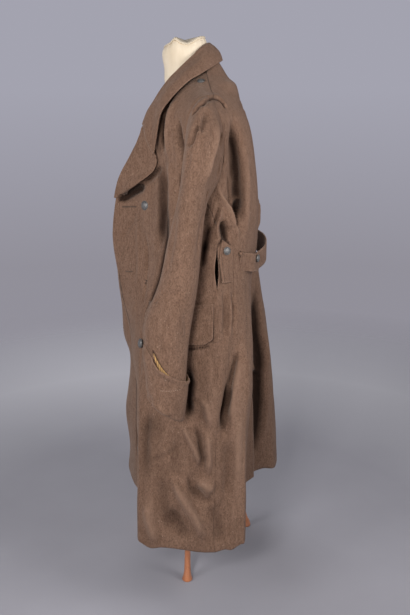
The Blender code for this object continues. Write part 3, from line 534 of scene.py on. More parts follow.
BACK_CREASES = (
    (17, -24, (-41, 850), (-35, 746), (-32, 670), (-36, 590), (-29, 534), (-24, 467), (-20, 410),
     (-14, 333), (-11, 180)),
    (6, 8, (-12, 589), (-25, 566), (-42, 543)),
    (5, -7, (-8, 575), (-26, 549), (-38, 532)),
    (12, 5, (-44, 507), (-44, 425), (-37, 329)),
    (12, 6, (-64, 675), (-63, 612), (-57, 544)),
    (18, -9, (-130, 840), (-150, 600), (-165, 200)),
    (16, 8, (-200, 700), (-225, 460), (-240, 190)),
    (17, -8, (110, 840), (135, 600), (150, 190)),
    (16, 7, (60, 820), (80, 500), (90, 190)),
    (15, -6, (200, 720), (225, 400)),
    (9, 6, (-50, 1100), (-62, 1000)),
    (9, -6, (-85, 1140), (-95, 1000)),
    (9, -6, (45, 1120), (40, 1000)),
    (9, 6, (80, 1090), (90, 1000)),
    (14, -4, (-110, 1260), (-60, 1230), (10, 1240)),
    (12, 4, (30, 1330), (90, 1300)),
    (30, 8.5, (-120, 1362), (-60, 1370), (0, 1372), (60, 1370), (120, 1362)),
    (20, -6, (-120, 1312), (0, 1316), (120, 1312)),
)
FRONT_CREASES = (
    (14, -7, (-60, 900), (-85, 700), (-110, 460)),
    (17, 8, (-120, 620), (-150, 400), (-165, 190)),
    (16, -8, (-60, 560), (-80, 360), (-85, 190)),
    (16, -7, (-200, 500), (-225, 340), (-235, 190)),
    (15, -4, (250, 420), (275, 300), (285, 190)),
    (9, 4, (-80, 1020), (-40, 985), (20, 975)),
    (8, -4, (-75, 990), (-30, 955)),
    (8, 3, (90, 800), (60, 770), (35, 765)),
)
print("creases on the other sides:", len(RIGHT_CREASES) + len(BACK_CREASES) + len(FRONT_CREASES))

# %% Creases of the sleeves, in the same columns
LEFT_SLEEVE_CREASES = (
    (8, -25, (-1, 1294), (-13, 1266), (-26, 1232)),
    (5, 7, (4, 1303), (-4, 1275), (-12, 1250)),
    (9, -14, (22, 1318), (13, 1296), (2, 1262)),
    (6, -19, (62, 1290), (55, 1262), (47, 1231)),
    (7, -12, (58, 1215), (49, 1187), (41, 1151)),
    (12, 11, (39, 1311), (36, 1249), (20, 1194), (8, 1138)),
    (5, -8, (21, 1136), (15, 1109)),
    (6, -5, (-22, 1229), (-27, 1184)),
    (8, -4, (-95, 953), (-58, 959), (-23, 972)),
    (8, -4.5, (-101, 897), (-70, 892), (-32, 906)),
    (5, -5, (-122, 866), (-95, 881)),
    (12, -5, (-51, 1102), (-63, 1022), (-83, 927)),
    (9, -4, (13, 1100), (1, 1032), (-9, 961)),
    (11, 4, (-59, 865), (-57, 750)),
    (10, -4, (-100, 800), (-96, 740)),
    (8, -4, (-36, 860), (-30, 770)),
)
RIGHT_SLEEVE_CREASES = (
    (5, -7, (-4, 1288), (-20, 1245)),
    (5, -5, (17, 1312), (6, 1270)),
    (11, 5, (36, 1305), (30, 1240), (10, 1140)),
    (6, -6, (58, 1215), (41, 1151)),
    (8, -4, (-98, 965), (-60, 950), (-22, 960)),
    (8, -4, (-108, 905), (-72, 880), (-36, 890)),
    (10, -4, (-52, 1090), (-70, 1000), (-80, 900)),
    (11, 4, (-65, 850), (-60, 740)),
)
print("creases on the sleeves:", len(LEFT_SLEEVE_CREASES) + len(RIGHT_SLEEVE_CREASES))

# %% [markdown]
# Where two layers lie close, little light gets in: under the lapel and the collar's edge, along the sleeve,
# beside the overlapping front edge, round the tab and in the vent. These lines are painted shade: they only
# darken the wool. A few broader ones paint the shade that the sleeve and cuff throw on the chest and the
# skirt, and a thin one the shade under the pocket flap. Along one of them, where the sleeve rests on the
# body, the cloth is also pressed in a little.

# %% Shaded lines, in the same columns
CONTACT = ((-92, 1110), (-87, 1044), (-90, 998), (-101, 933), (-113, 881), (-134, 821), (-149, 777),
           (-161, 735))
LEFT_SHADES = (
    (7, -22, (-56, 1362), (-78, 1334), (-96, 1283), (-98, 1251), (-94, 1196)),
    (4, -18, (-100, 1182), (-120, 1157), (-137, 1139), (-160, 1121)),
    (8, -45, (-142, 1126), (-160, 1114), (-184, 1099), (-206, 1084), (-222, 1072), (-240, 1058)),
    (10, -20, *CONTACT),
    (6, -14, (42, 1148), (30, 1111), (18, 1062), (10, 1013), (5, 964), (0, 902), (-5, 855)),
    (15, -15, (-104, 1200), (-105, 1100), (-106, 1040), (-112, 960)),
    (50, -14.5, (-134, 580), (-124, 500), (-118, 340)),
    (6, -18, (-44, 1225), (-42, 1184), (-47, 1150), (-54, 1110)),
    (4, -26, (-41, 724), (-20, 728), (0, 733), (20, 738), (33, 750)),
    (7, -14, (53, 1044), (56, 1030), (64, 1008), (74, 994)),
    (4, -24, (-234, 910), (-225, 850), (-216, 800), (-205, 757), (-196, 712), (-193, 650)),
    (7, -18, (-195, 690), (-188, 620), (-184, 560), (-183, 480), (-183, 391), (-184, 280)),
    (5, -24, (36, 968), (48, 994), (58, 1005), (70, 992), (86, 970)),
)
BACK_SHADES = (
    (19, -16, (-41, 870), (-35, 746), (-32, 670), (-36, 590), (-24, 467), (-14, 333), (-9, 180)),
)
MILLIMETRES = 1000


def in_metres(seen_from, rows):
    """Rows of a table as side, path, half width and height in metres."""
    found = []
    for half, height, *places in rows:
        path = tuple((across / MILLIMETRES, up / MILLIMETRES) for across, up in places)
        found.append((seen_from, path, half / MILLIMETRES, height / MILLIMETRES))
    return found


BODY_CREASES = (in_metres("left", LEFT_CREASES) + in_metres("right", RIGHT_CREASES)
                + in_metres("back", BACK_CREASES) + in_metres("front", FRONT_CREASES)
                + in_metres("left", [(12, -10, *CONTACT)]))
SLEEVE_CREASES = in_metres("left", LEFT_SLEEVE_CREASES) + in_metres("right", RIGHT_SLEEVE_CREASES)
SHADES = in_metres("left", LEFT_SHADES) + in_metres("back", BACK_SHADES)
print("creases on the body:", len(BODY_CREASES), "shaded lines:", len(SHADES))

# %% [markdown]
# A path seen from one side becomes a path on the cloth by dropping each of its points straight onto the
# walls. Each sheet's points then measure their distance to it, and move along their normals by the bell.
# Three octaves of slow noise, drawn out downwards, add the faint lumps that no pressed wool is free of.

# %% Raise and sink the cloth along its creases
LOOKS = {"left": (0, 1), "right": (0, -1), "front": (1, -1), "back": (1, 1)}
FAR_OUT, PATH_STEP, LINE_STEP = 1.0, 0.006, 0.002
BELL_REACH, END_FADE = 3, 3.4
LUMPS = ((7.0, 0.0060), (17.0, 0.0022), (42.0, 0.0006))
LUMP_TALL = 0.45
LUMP_SHARE = {"body": 1.0, "sleeve": 0.5, "lumps": 0.25}


def ease(share):
    """A smooth step from 0 to 1."""
    share = np.clip(share, 0, 1)
    return share * share * (3 - 2 * share)


def after(place, start, over):
    """0 up to the start, then a smooth rise to 1 over a stretch."""
    return ease((place - start) / over)


def before(place, start, over):
    """0 from the start on, with a smooth rise to 1 over a stretch in front of it."""
    return ease((start - place) / over)


def bell(gap, half):
    """1 in the middle, fading smoothly to both sides."""
    return np.exp(-(gap / half) ** 2)


def tree_of(meshes):
    """A search tree over several meshes."""
    shape = bmesh.new()
    for mesh in meshes:
        shape.from_mesh(mesh)
    found = BVHTree.FromBMesh(shape)
    shape.free()
    return found


def dropped(seen_from, path, tree, step=PATH_STEP):
    """Points close together along a path, dropped onto what the tree holds, with their normals."""
    axis, sign = LOOKS[seen_from]
    start, way = [0.0, 0.0, 0.0], Vector((0, 0, 0))
    way[axis] = -sign
    found = []
    for one, other in zip(path, path[1:]):
        steps = max(1, round(math.dist(one, other) / step))
        for share in np.arange(steps + (other == path[-1])) / steps:
            start[axis] = sign * FAR_OUT
            start[1 - axis], start[2] = (a + (b - a) * share for a, b in zip(one, other))
            spot, normal, _, _ = tree.ray_cast(Vector(start), way)
            if spot is not None:
                found.append((spot, normal if normal.dot(way) < 0 else -normal))
    return found


def crease_lift(points, creases, tree):
    """How far each point is raised by the creases."""
    lift = np.zeros(len(points))
    for seen_from, path, half, height in creases:
        line = np.array([spot for spot, _ in dropped(seen_from, path, tree)])
        if len(line) < 2:
            continue
        reach = half * BELL_REACH
        near = np.all((points > line.min(0) - reach) & (points < line.max(0) + reach), axis=1)
        some = points[near]
        if not len(some):
            continue
        gap = np.linalg.norm(some[:, None] - line[None], axis=2)
        share = gap.argmin(axis=1) / (len(line) - 1)
        lift[near] += height * bell(gap.min(axis=1), half) * ease(np.minimum(share, 1 - share) * END_FADE)
    return lift


def lumps(points):
    """Slow noise at each point."""
    found = np.zeros(len(points))
    tall = points * (1, 1, LUMP_TALL)
    for scale, height in LUMPS:
        found += [height * noise.noise(Vector(point) * scale) for point in tall]
    return found


HALVES = ("left", "right")
BODY_NODES = [f"{half}_{part}" for half in HALVES for part in ("front", "back")]
SLEEVE_NODES = [f"{half}_{part}_sleeve" for half in HALVES for part in ("top", "under")]
BODY_TREE = tree_of([NODES[node].data for node in BODY_NODES])
SLEEVE_TREE = tree_of([NODES[node].data for node in SLEEVE_NODES])

# %% [markdown]
# Now the sheets themselves. The tables give each piece its cloth's thickness, which creases it takes, and
# the size it was cut to: width, length and area of the flat piece, in metres. Pieces cut in pairs have one
# row. All are made fine first, because the next step has to know where each one's edge runs. The walls are
# longer than they are wide between their points, so the folded parts of the left side get a second cut.

# %% Sheets of the coat: part, thickness, creases, cut width, length, area, how it is held, on what
CLOTH, FLAP_CLOTH, BELT_CLOTH = 0.0028, 0.0032, 0.0034
BODY_SHEETS = (
    ("left_front", CLOTH, "body", 0.42, 1.21, 0.385, "hung", "form_torso"),
    ("right_front", CLOTH, "body", 0.62, 1.21, 0.52, "hung", "form_torso"),
    ("left_back", CLOTH, "body", 0.42, 1.25, 0.375, "hung", "form_torso"),
    ("right_back", CLOTH, "body", 0.53, 1.25, 0.435, "hung", "form_torso"),
    ("collar", CLOTH, "lumps", 0.12, 0.66, 0.061, "folded", "left_front"),
)
PAIRED_SHEETS = (
    ("lapel", CLOTH, "body", 0.105, 0.20, 0.013, "folded", "front"),
    ("top_sleeve", CLOTH, "sleeve", 0.25, 0.80, 0.14, "hung", "front"),
    ("under_sleeve", CLOTH, "sleeve", 0.15, 0.68, 0.083, "hung", "front"),
    ("cuff", CLOTH, "sleeve", 0.31, 0.135, 0.037, "folded", "top_sleeve"),
    ("flap", FLAP_CLOTH, "body", 0.195, 0.12, 0.022, "hung", "front"),
    ("tab", BELT_CLOTH, "body", 0.045, 0.112, 0.0042, "laid", "back"),
)
BELT_SHEETS = (
    ("left_belt", BELT_CLOTH, "lumps", 0.050, 0.145, 0.0068, "hung", "left_back"),
    ("right_belt", BELT_CLOTH, "lumps", 0.050, 0.40, 0.0192, "hung", "right_back"),
)
PAIRS = [(f"{half}_{part}", *row, f"{half}_{under}")
         for part, *row, under in PAIRED_SHEETS for half in HALVES]
SHEETS = (*BODY_SHEETS, *PAIRS, *BELT_SHEETS)
LEVELS, FINER_LEVELS, FINER = 3, 4, ("left_top_sleeve", "left_tab", "left_belt")
CURLED = ("sleeve", "cuff", "collar")
CREASES = {"body": (BODY_CREASES, BODY_TREE), "sleeve": (SLEEVE_CREASES, SLEEVE_TREE),
           "lumps": ((), BODY_TREE)}
SECOND_CUT = (((-0.40, 0.20), (0.40, 0.67)), ((-0.115, 1.00), (0.12, 1.34)))
CUT_TWICE, UPRIGHT = ("left_front", "left_back"), 0.75


def second_cut(mesh):
    """Halve the upright edges inside certain boxes, each given by two corners in y and z."""
    shape = bmesh.new()
    shape.from_mesh(mesh)
    chosen = []
    for edge in shape.edges:
        a, b = (v.co for v in edge.verts)
        upright = abs(a.z - b.z) > UPRIGHT * edge.calc_length()
        if upright and any(all(low[0] < end.y < high[0] and low[1] < end.z < high[1] for end in (a, b))
                           for low, high in SECOND_CUT):
            chosen.append(edge)
    bmesh.ops.subdivide_edges(shape, edges=chosen, cuts=1)
    shape.to_mesh(mesh)
    shape.free()
    shade_smooth(mesh)


FINE = {}
for part, thick, *_ in SHEETS:
    wall = outer_face(part, thick, any(word in part for word in CURLED))
    FINE[part] = smooth_through(wall, FINER_LEVELS if part in FINER else LEVELS)
    if part in CUT_TWICE:
        second_cut(FINE[part])
print("faces before folding:", sum(len(mesh.polygons) for mesh in FINE.values()))

# %% [markdown]
# An edge that lies against the edge of another piece is sewn to it; every other edge is free. Where a sleeve
# is sewn into its armhole both pieces must stay put, or the seam would gape, and so must the neck seam under
# the collar. Near a seam the normals of both pieces are turned the same way, so that both move together.

# %% Free edges, sewn edges and armholes
SEWN_WITHIN, TURN_WITHIN, FAR = 0.006, 0.035, 0.05
HEAD_WITHIN, HEAD_ABOVE = 0.225, 1.105
SEWN_PARTS = (*BODY_NODES, *SLEEVE_NODES, "collar", "left_lapel", "right_lapel")


def boundary(mesh):
    """The points on a mesh's open edge, and the cloth's normals there."""
    shape = bmesh.new()
    shape.from_mesh(mesh)
    found = [(v.co.copy(), v.normal.copy()) for v in shape.verts if v.is_boundary]
    shape.free()
    return tuple(zip(*found))


def points_tree(spots):
    """A search tree over single points."""
    tree = KDTree(len(spots))
    for number, spot in enumerate(spots):
        tree.insert(spot, number)
    tree.balance()
    return tree


def path_tree(seen_from, path, tree):
    """A search tree over the points of a path dropped onto the cloth."""
    return points_tree([spot for spot, _ in dropped(seen_from, path, tree, LINE_STEP)])


def gaps(points, tree):
    """The distance from each point to the nearest in the tree."""
    if tree is None:
        return np.full(len(points), FAR)
    return np.minimum([tree.find(point)[2] for point in points], FAR)


EDGE, NORMAL_AT = {}, {}
for part, mesh in FINE.items():
    EDGE[part], NORMAL_AT[part] = boundary(mesh)
EDGE_TREE = {part: points_tree(EDGE[part]) for part in SEWN_PARTS}
FREE, SEWN = {}, {}
for part, spots in EDGE.items():
    others = [EDGE_TREE[other] for other in SEWN_PARTS if other != part] if part in SEWN_PARTS else []
    sewn = [min((tree.find(spot)[2] for tree in others), default=1.0) < SEWN_WITHIN for spot in spots]
    free = [spot for spot, held in zip(spots, sewn) if not held]
    held = [spot for spot, held in zip(spots, sewn) if held]
    FREE[part], SEWN[part] = (points_tree(some) if some else None for some in (free, held))


def seam_normals(part):
    """The part's point normals, turned near a sewn edge to the way that both pieces face there."""
    normals = columns(FINE[part].vertex_normals, "vector")
    if part not in SEWN_PARTS or SEWN[part] is None:
        return normals
    blended = normals.copy()
    for number, spot in enumerate(positions(FINE[part])):
        seam, _, gap = SEWN[part].find(spot)
        if gap < TURN_WITHIN:
            met = [(other, *EDGE_TREE[other].find(seam)[1:]) for other in SEWN_PARTS]
            ways = [Vector(NORMAL_AT[other][place]) for other, place, away in met if away < SEWN_WITHIN]
            share = 1 - float(ease(gap / TURN_WITHIN))
            both = sum(ways, Vector()).normalized()
            blended[number] = Vector(normals[number]).lerp(both, share).normalized()
    return blended


ARMHOLE = points_tree([spot for part in SLEEVE_NODES for spot in EDGE[part]
                       if abs(spot.x) < HEAD_WITHIN and spot.z > HEAD_ABOVE])
print("points on the sleeves' edges:", sum(len(EDGE[part]) for part in SLEEVE_NODES))

# %% [markdown]
# At the armhole the cloth of the shoulder rolls over the seam, and the sleeve head, which is cut a little too
# full, puffs up behind it. A raised line with a groove below it gives that roll, the same on both pieces.

# %% Roll at the armhole, as a path in y and z
ROLL = ((-0.013, 1.308), (0.001, 1.323), (0.013, 1.332), (0.025, 1.339), (0.034, 1.341), (0.047, 1.338),
        (0.055, 1.330), (0.061, 1.322))
ROLL_ABOVE, ROLL_HIGH, ROLL_HALF = 0.0065, 0.0035, 0.008
GROOVE_DEEP, GROOVE_HALF = 0.007, 0.0048
COAT_TREE = tree_of([NODES[node].data for node in BODY_NODES + SLEEVE_NODES])
ROLL_TOP_PATH = tuple((y, z + ROLL_ABOVE) for y, z in ROLL)
ROLL_LINE = {half: path_tree(half, ROLL, COAT_TREE) for half in HALVES}
ROLL_TOP = {half: path_tree(half, ROLL_TOP_PATH, COAT_TREE) for half in HALVES}


def armhole_shape(part, points):
    """Lift of the roll and its groove, with the distance of each point to the groove."""
    half = part.split("_")[0]
    line, top = gaps(points, ROLL_LINE[half]), gaps(points, ROLL_TOP[half])
    return ROLL_HIGH * bell(top, ROLL_HALF) - GROOVE_DEEP * bell(line, GROOVE_HALF), line


# %% [markdown]
# A few edges have a shape of their own, which no crease gives. The lapel's free edge rolls away from the
# chest and its foot runs out in a point, the collar's stand is drawn to the neck, a pocket flap stands off
# the skirt, the left half belt starts from under the cloth beside the tab and the right one sags, the cuff
# gapes where it was left unsewn, and the hem hangs lower in places. Each is a lift along the cloth's normal
# or a small shift of its points, which starts at a place on the coat and grows over a short stretch.

# %% Shape the edges; heights and shifts are in metres
LAPEL_ROLL, LAPEL_TOP, LAPEL_FORWARD, LAPEL_POINT = 0.015, 0.004, -0.004, 0.011
COLLAR_ROLL, STAND_OUT, STAND_DOWN, NECK_Y, NECK_ROUND = 0.007, 0.014, -0.028, -0.02, 0.062
TAB_DOWN, TAB_BACK, TAB_FROM = -0.017, 0.006, 0.0486
FLAP_OFF = 0.009
BELT_SUNK, BELT_SUNK_LOW, BELT_NARROWER, BELT_TOP, BELT_FALL = 0.0225, 0.004, 0.92, 0.994, 0.26
BELT_SAG, SAG_AT, SAG_HALF = -0.018, -0.085, 0.06
CUFF_OPEN, CUFF_TUCKED, CUFF_BEAD, CUFF_ABOVE, CUFF_CORNER = 0.005, 0.007, 0.0035, 0.60, -0.112
HEM_WAVE, HEM_WAVES, CORNER_DROP = 0.003, 11, 0.016
HEM_DROPS = ((-0.130, 0.022, 0.014), (-0.006, 0.030, 0.004), (0.083, 0.014, 0.011))


def lapel_edge(x, y, z, rim, shift):
    """The lapel's free edge rolls off the chest, and its foot is drawn up to a point."""
    shift[:, 1] = LAPEL_FORWARD * after(z, 1.250, 0.018) * before(y, -0.132, 0.008)
    shift[:, 2] = LAPEL_POINT * after(y, -0.232, 0.020) * before(z, 1.092, 0.012)
    roll = LAPEL_ROLL * after(y, -0.225, 0.05) * before(z, 1.175, 0.05) * bell(rim, 0.030)
    return roll + LAPEL_TOP * after(z, 1.225, 0.03)


def collar_edge(x, y, z, rim, shift):
    """The fall rolls at its front edge; the stand is drawn out and down to the neck edge of the coat."""
    around = np.hypot(x, y - NECK_Y)
    stand = bell(rim, 0.012) * (1 - after(around, NECK_ROUND, 0.012)) * after(z, 1.395, 0.02)
    beside = ease(np.abs(x) / 0.03)
    shift[:, 0] = STAND_OUT * stand * beside * x / around
    shift[:, 1] = STAND_OUT * stand * beside * (y - NECK_Y) / around
    shift[:, 2] = STAND_DOWN * stand * (0.4 + 0.6 * beside)
    return COLLAR_ROLL * bell(rim, 0.022) * before(z, 1.345, 0.05) * after(y, -0.158, 0.03) * (y < 0)


def tab_edge(x, y, z, rim, shift):
    """The tab's front edge slopes at the top and is cut back at the foot."""
    shift[:, 2] = TAB_DOWN * (1 - after(y, TAB_FROM, 0.009)) * after(z, 0.950, 0.04)
    shift[:, 1] = TAB_BACK * (1 - after(y, TAB_FROM, 0.031)) * (1 - after(z, 0.897, 0.06))
    return 0.0


def flap_edge(x, y, z, rim, shift):
    """The flap stands off the skirt towards its lower edge."""
    return FLAP_OFF * before(z, 0.830, 0.09)


def left_belt_edge(x, y, z, rim, shift):
    """The belt starts narrow and sunk under the cloth beside the tab."""
    shift[:, 2] = BELT_NARROWER * (BELT_TOP - BELT_FALL * y - z) * (1 - after(y, 0.100, 0.032))
    return -(BELT_SUNK + BELT_SUNK_LOW * before(z, 0.950, 0.035)) * (1 - after(y, 0.120, 0.026))


def right_belt_edge(x, y, z, rim, shift):
    """The lower edge sags in the middle."""
    shift[:, 2] = BELT_SAG * bell(x - SAG_AT, SAG_HALF) * (1 - after(z, 0.920, 0.045))
    return 0.0


def cuff_edge(x, y, z, rim, shift):
    """The upper edge gapes beside its tucked-in corner, and has a bead elsewhere."""
    top = z > CUFF_ABOVE
    gape = CUFF_OPEN * bell(y + 0.088, 0.022) - CUFF_TUCKED * before(y, CUFF_CORNER, 0.010)
    bead = CUFF_BEAD * bell(rim - 0.005, 0.005) * top * after(y, CUFF_CORNER, 0.012)
    return bell(rim, 0.014) * top * gape + bead


def hem_edge(x, y, z, rim, shift):
    """The hem is not cut quite level and hangs lower where a fold ends."""
    hem = before(z, 0.27, 0.07)
    shift[:, 2] = hem * [HEM_WAVE * noise.noise(Vector((a * HEM_WAVES, b * HEM_WAVES, 0.3)))
                         for a, b in zip(x, y)]
    for middle, half, drop in HEM_DROPS:
        shift[:, 2] -= hem * drop * bell(y - middle, half)
    return 0.0


def right_back_hem(x, y, z, rim, shift):
    """The hem, with the rear corner let down."""
    hem_edge(x, y, z, rim, shift)
    shift[:, 2] -= before(z, 0.36, 0.12) * CORNER_DROP * after(y, 0.185, 0.05)
    return 0.0


EDGE_SHAPES = {"lapel": lapel_edge, "collar": collar_edge, "tab": tab_edge, "flap": flap_edge,
               "left_belt": left_belt_edge, "right_belt": right_belt_edge, "cuff": cuff_edge,
               "right_back": right_back_hem, "front": hem_edge, "left_back": hem_edge}


def edge_shape(part, points, rim):
    """Lift along the normal and shift in the coat's frame of a part's edge."""
    shift = np.zeros((len(points), 3))
    lift = np.zeros(len(points))
    for word, shaped in EDGE_SHAPES.items():
        if word in part:
            lift += shaped(*points.T, rim, shift)
            break
    return lift, shift


# %% [markdown]
# Each sheet is now creased, shaped, painted with its attributes and given its thickness back. Solidify puts
# the thickness inwards, so the outside stays on the wall's form.

# %% Make the sheets
SEAM_STILL, NECK_STILL, NECK_FADE = 0.010, 1.40, 0.03
LUMP_UP, LUMP_MORE, LUMP_FROM, LUMP_OVER = 0.55, 0.45, 1.0, 0.35
# Painted shade runs along the cuff's gap, given here in y and z, and along the roll's groove; below, how wide
# the dark lines are.
CUFF_GAP = ((-0.112, 0.756), (-0.104, 0.738), (-0.096, 0.722), (-0.088, 0.711), (-0.080, 0.702))
HEAD_SEAM_ABOVE, SHOULDER_ABOVE, OFF_ARMHOLE = 1.24, 1.33, 0.01
ROLL_WIDER, GAP_WIDER, HEAD_NARROWER, SHOULDER_NARROWER = 0.0008, 0.0005, 0.0028, 0.0014


def paint(mesh, name, values):
    """A value for each point, which the materials read by name."""
    layer = mesh.attributes.new(name, "FLOAT", "POINT")
    layer.data.foreach_set("value", np.asarray(values, np.float32))


def dress(name, mesh, look):
    """An object in the scene with this material, riding on the part's one body."""
    mesh.materials.append(look)
    made = in_scene(name, mesh)
    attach(made, "root")
    return made


def dark_seam_and_shade_line(part, points, arm, seam, roll):
    """Distance to the shoulder and sleeve-head seams and to painted shade at the roll's groove and cuff's
    gap.
    """
    z = points[:, 2]
    head = np.where(z > HEAD_SEAM_ABOVE, arm + HEAD_NARROWER, FAR)
    shoulder = np.where((z > SHOULDER_ABOVE) & (arm > OFF_ARMHOLE), seam + SHOULDER_NARROWER, FAR)
    found = np.minimum(np.minimum(roll - ROLL_WIDER, head), shoulder)
    if part == "left_top_sleeve":
        found = np.minimum(found, gaps(points, path_tree("left", CUFF_GAP, SLEEVE_TREE)) - GAP_WIDER)
    return found


def sheet(part, thick, kind, wide, long, area, held, rests_on):
    """One cut piece of the coat as a creased sheet with thickness."""
    mesh = FINE[part]
    points, normals = positions(mesh), seam_normals(part)
    z = points[:, 2]
    rim, seam, arm = (gaps(points, tree) for tree in (FREE[part], SEWN[part], ARMHOLE))
    still = ease(arm / SEAM_STILL) * before(z, NECK_STILL, NECK_FADE)
    rows, tree = CREASES[kind]
    fold = crease_lift(points, rows, tree) * still
    share = LUMP_SHARE[kind] * (LUMP_UP + LUMP_MORE * before(z, LUMP_FROM, LUMP_OVER))
    lift = fold + lumps(points) * share * still
    roll = np.full(len(points), FAR)
    if part in BODY_NODES or part in SLEEVE_NODES:
        rolled, roll = armhole_shape(part, points)
        lift += rolled
    edge, shift = edge_shape(part, points, rim)
    lift += edge
    move_to(mesh, points + normals * lift[:, None] + shift)
    # Painted shade: the shaded lines darken the wool through the fold attribute, without moving the cloth.
    shade = crease_lift(points, SHADES, BODY_TREE) if kind == "body" else 0.0
    paint(mesh, "fold", fold + shade)
    paint(mesh, "rim", rim)
    paint(mesh, "seam", dark_seam_and_shade_line(part, points, arm, seam, roll))
    belted = "belt" in part or "tab" in part
    made = dress(f"{part}_cloth", mesh, BELT_WOOL if belted else WOOL)
    wall = made.modifiers.new("cloth", "SOLIDIFY")
    wall.thickness = thick
    wall.offset = -1.0
    wall.use_quality_normals = True
    if "cuff" in part:
        mesh.materials.append(LINING)
        wall.material_offset = 1
    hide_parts(part)
    print(part, "faces", len(mesh.polygons), "lift", round(float(lift.min()), 4), round(float(lift.max()), 4))
    return made


COAT = {row[0]: sheet(*row) for row in SHEETS}

# %% [markdown]
# Sewing that lies away from an edge is laid on as thread: the line that holds the vent, the rectangle that
# secures its top, the pleat lines on the tab and the row on the cuff. A stitch is one small stretched ball,
# repeated along a path that was dropped onto the finished cloth. A buttonhole is two rows of stitches set
# across it, with its slit between them drawn in the dark thread as painted shade of the opening; where a
# button is gone only the ends of its thread are left.

# %% Stitches, buttonholes and thread ends; paths are in y and z
STITCH_PITCH, STITCH_LONG, STITCH_WIDE, STITCH_PROUD = 0.0052, 0.0040, 0.0011, 0.0002
RUNS = (
    ("vent_line_stitches", "left_back", ((0.118, 0.884), (0.120, 0.787), (0.122, 0.701))),
    ("vent_top_stitches", "left_back", ((0.102, 0.910), (0.119, 0.905), (0.119, 0.886), (0.103, 0.892))),
    ("tab_pleat_stitches", "left_tab", ((0.053, 0.970), (0.058, 0.930), (0.062, 0.899))),
    ("tab_seam_stitches", "left_tab", ((0.0725, 0.962), (0.0735, 0.900))),
    ("cuff_row_stitches", "left_cuff", ((-0.096, 0.663), (-0.067, 0.662), (-0.046, 0.661))),
)
HOLES = (
    ("upper_buttonhole", ((-0.211, 1.0565), (-0.170, 1.061))),
    ("middle_buttonhole", ((-0.207, 0.878), (-0.185, 0.883))),
)
HOLE_PITCH, HOLE_SIDE = 0.0022, 0.0019
SLIT_SIZE, HOLE_STITCH, END_SIZE = (0.0044, 0.0016), (0.0028, 0.0014), (0.012, 0.0024)
THREAD_END, ENDS, END_OUT = (-0.145, 0.865), 4, 0.004


def stitch_at(shape, spot, along, normal, long, wide):
    """One stitch: a small ball stretched along the seam and sunk a little into the cloth."""
    side = normal.cross(along).normalized()
    along = side.cross(normal)
    turn = Matrix((along, side, normal)).transposed().to_4x4()
    place = Matrix.Translation(spot) @ turn @ Matrix.Diagonal((long, wide, wide, 1.0))
    bmesh.ops.create_icosphere(shape, subdivisions=1, radius=0.5, matrix=place)


def sewing(name, shape, look):
    """A finished row of stitches."""
    return dress(name, shade_smooth(mesh_of(shape, name)), look)


def stitch_row(name, part, path, look):
    """Stitches end to end along a path seen from the left."""
    line = dropped("left", path, tree_of([COAT[part].data]), STITCH_PITCH)
    shape = bmesh.new()
    for (spot, normal), (following, _) in zip(line, line[1:]):
        middle = (spot + following) / 2 + normal * STITCH_PROUD
        stitch_at(shape, middle, following - spot, normal, STITCH_LONG, STITCH_WIDE)
    return sewing(name, shape, look)


def buttonhole(name, path):
    """A slit of painted shade, drawn in dark thread, between two rows of stitches that cross its edges."""
    line = dropped("left", path, tree_of([COAT["left_front"].data]), HOLE_PITCH)
    rows, slit = bmesh.new(), bmesh.new()
    for (spot, normal), (following, _) in zip(line, line[1:]):
        along = (following - spot).normalized()
        side = normal.cross(along)
        stitch_at(slit, spot, along, normal, *SLIT_SIZE)
        for way in (-1, 1):
            stitch_at(rows, spot + side * way * HOLE_SIDE, side, normal, *HOLE_STITCH)
    sewing(f"{name}_edge", rows, HOLE_THREAD)
    # The slit is painted shade of the opening, drawn in dark thread.
    sewing(f"{name}_slit", slit, DARK_THREAD_AND_SLIT_SHADE)


def thread_end(name, place):
    """Loose ends of thread standing out of the cloth, each leaning its own way."""
    (spot, normal), = dropped("left", (place, place), tree_of([COAT["left_front"].data]))[:1]
    shape = bmesh.new()
    for number in range(ENDS):
        lean = Vector((0.4, math.sin(number * 2.3), math.cos(number * 1.7) - 0.4)).normalized()
        stitch_at(shape, spot + lean * END_OUT, lean, normal.orthogonal(), *END_SIZE)
    sewing(name, shape, DARK_THREAD_AND_SLIT_SHADE)


for name, part, path in RUNS:
    stitch_row(name, part, path, PALE_THREAD if "cuff" in name else DARK_THREAD_AND_SLIT_SHADE)
for name, path in HOLES:
    buttonhole(name, path)
thread_end("missing_button_thread", THREAD_END)
print("rows of stitches:", len(RUNS), "buttonholes:", len(HOLES))

# %% [markdown]
# Where the cuff gapes, a crescent of its striped lining shows. It is a narrow strip between two paths on the
# sleeve, bridged into faces and raised a little so that it lies on the wool.

# %% Lining in the cuff's gap
LIP_TOP = ((-0.110, 0.752), (-0.101, 0.734), (-0.091, 0.718), (-0.081, 0.706), (-0.068, 0.693))
LIP_LOW = ((-0.110, 0.744), (-0.101, 0.720), (-0.091, 0.700), (-0.081, 0.688), (-0.068, 0.682))
LIP_STEPS, LIP_PROUD, LIP_THICK = 5, 0.0016, 0.001


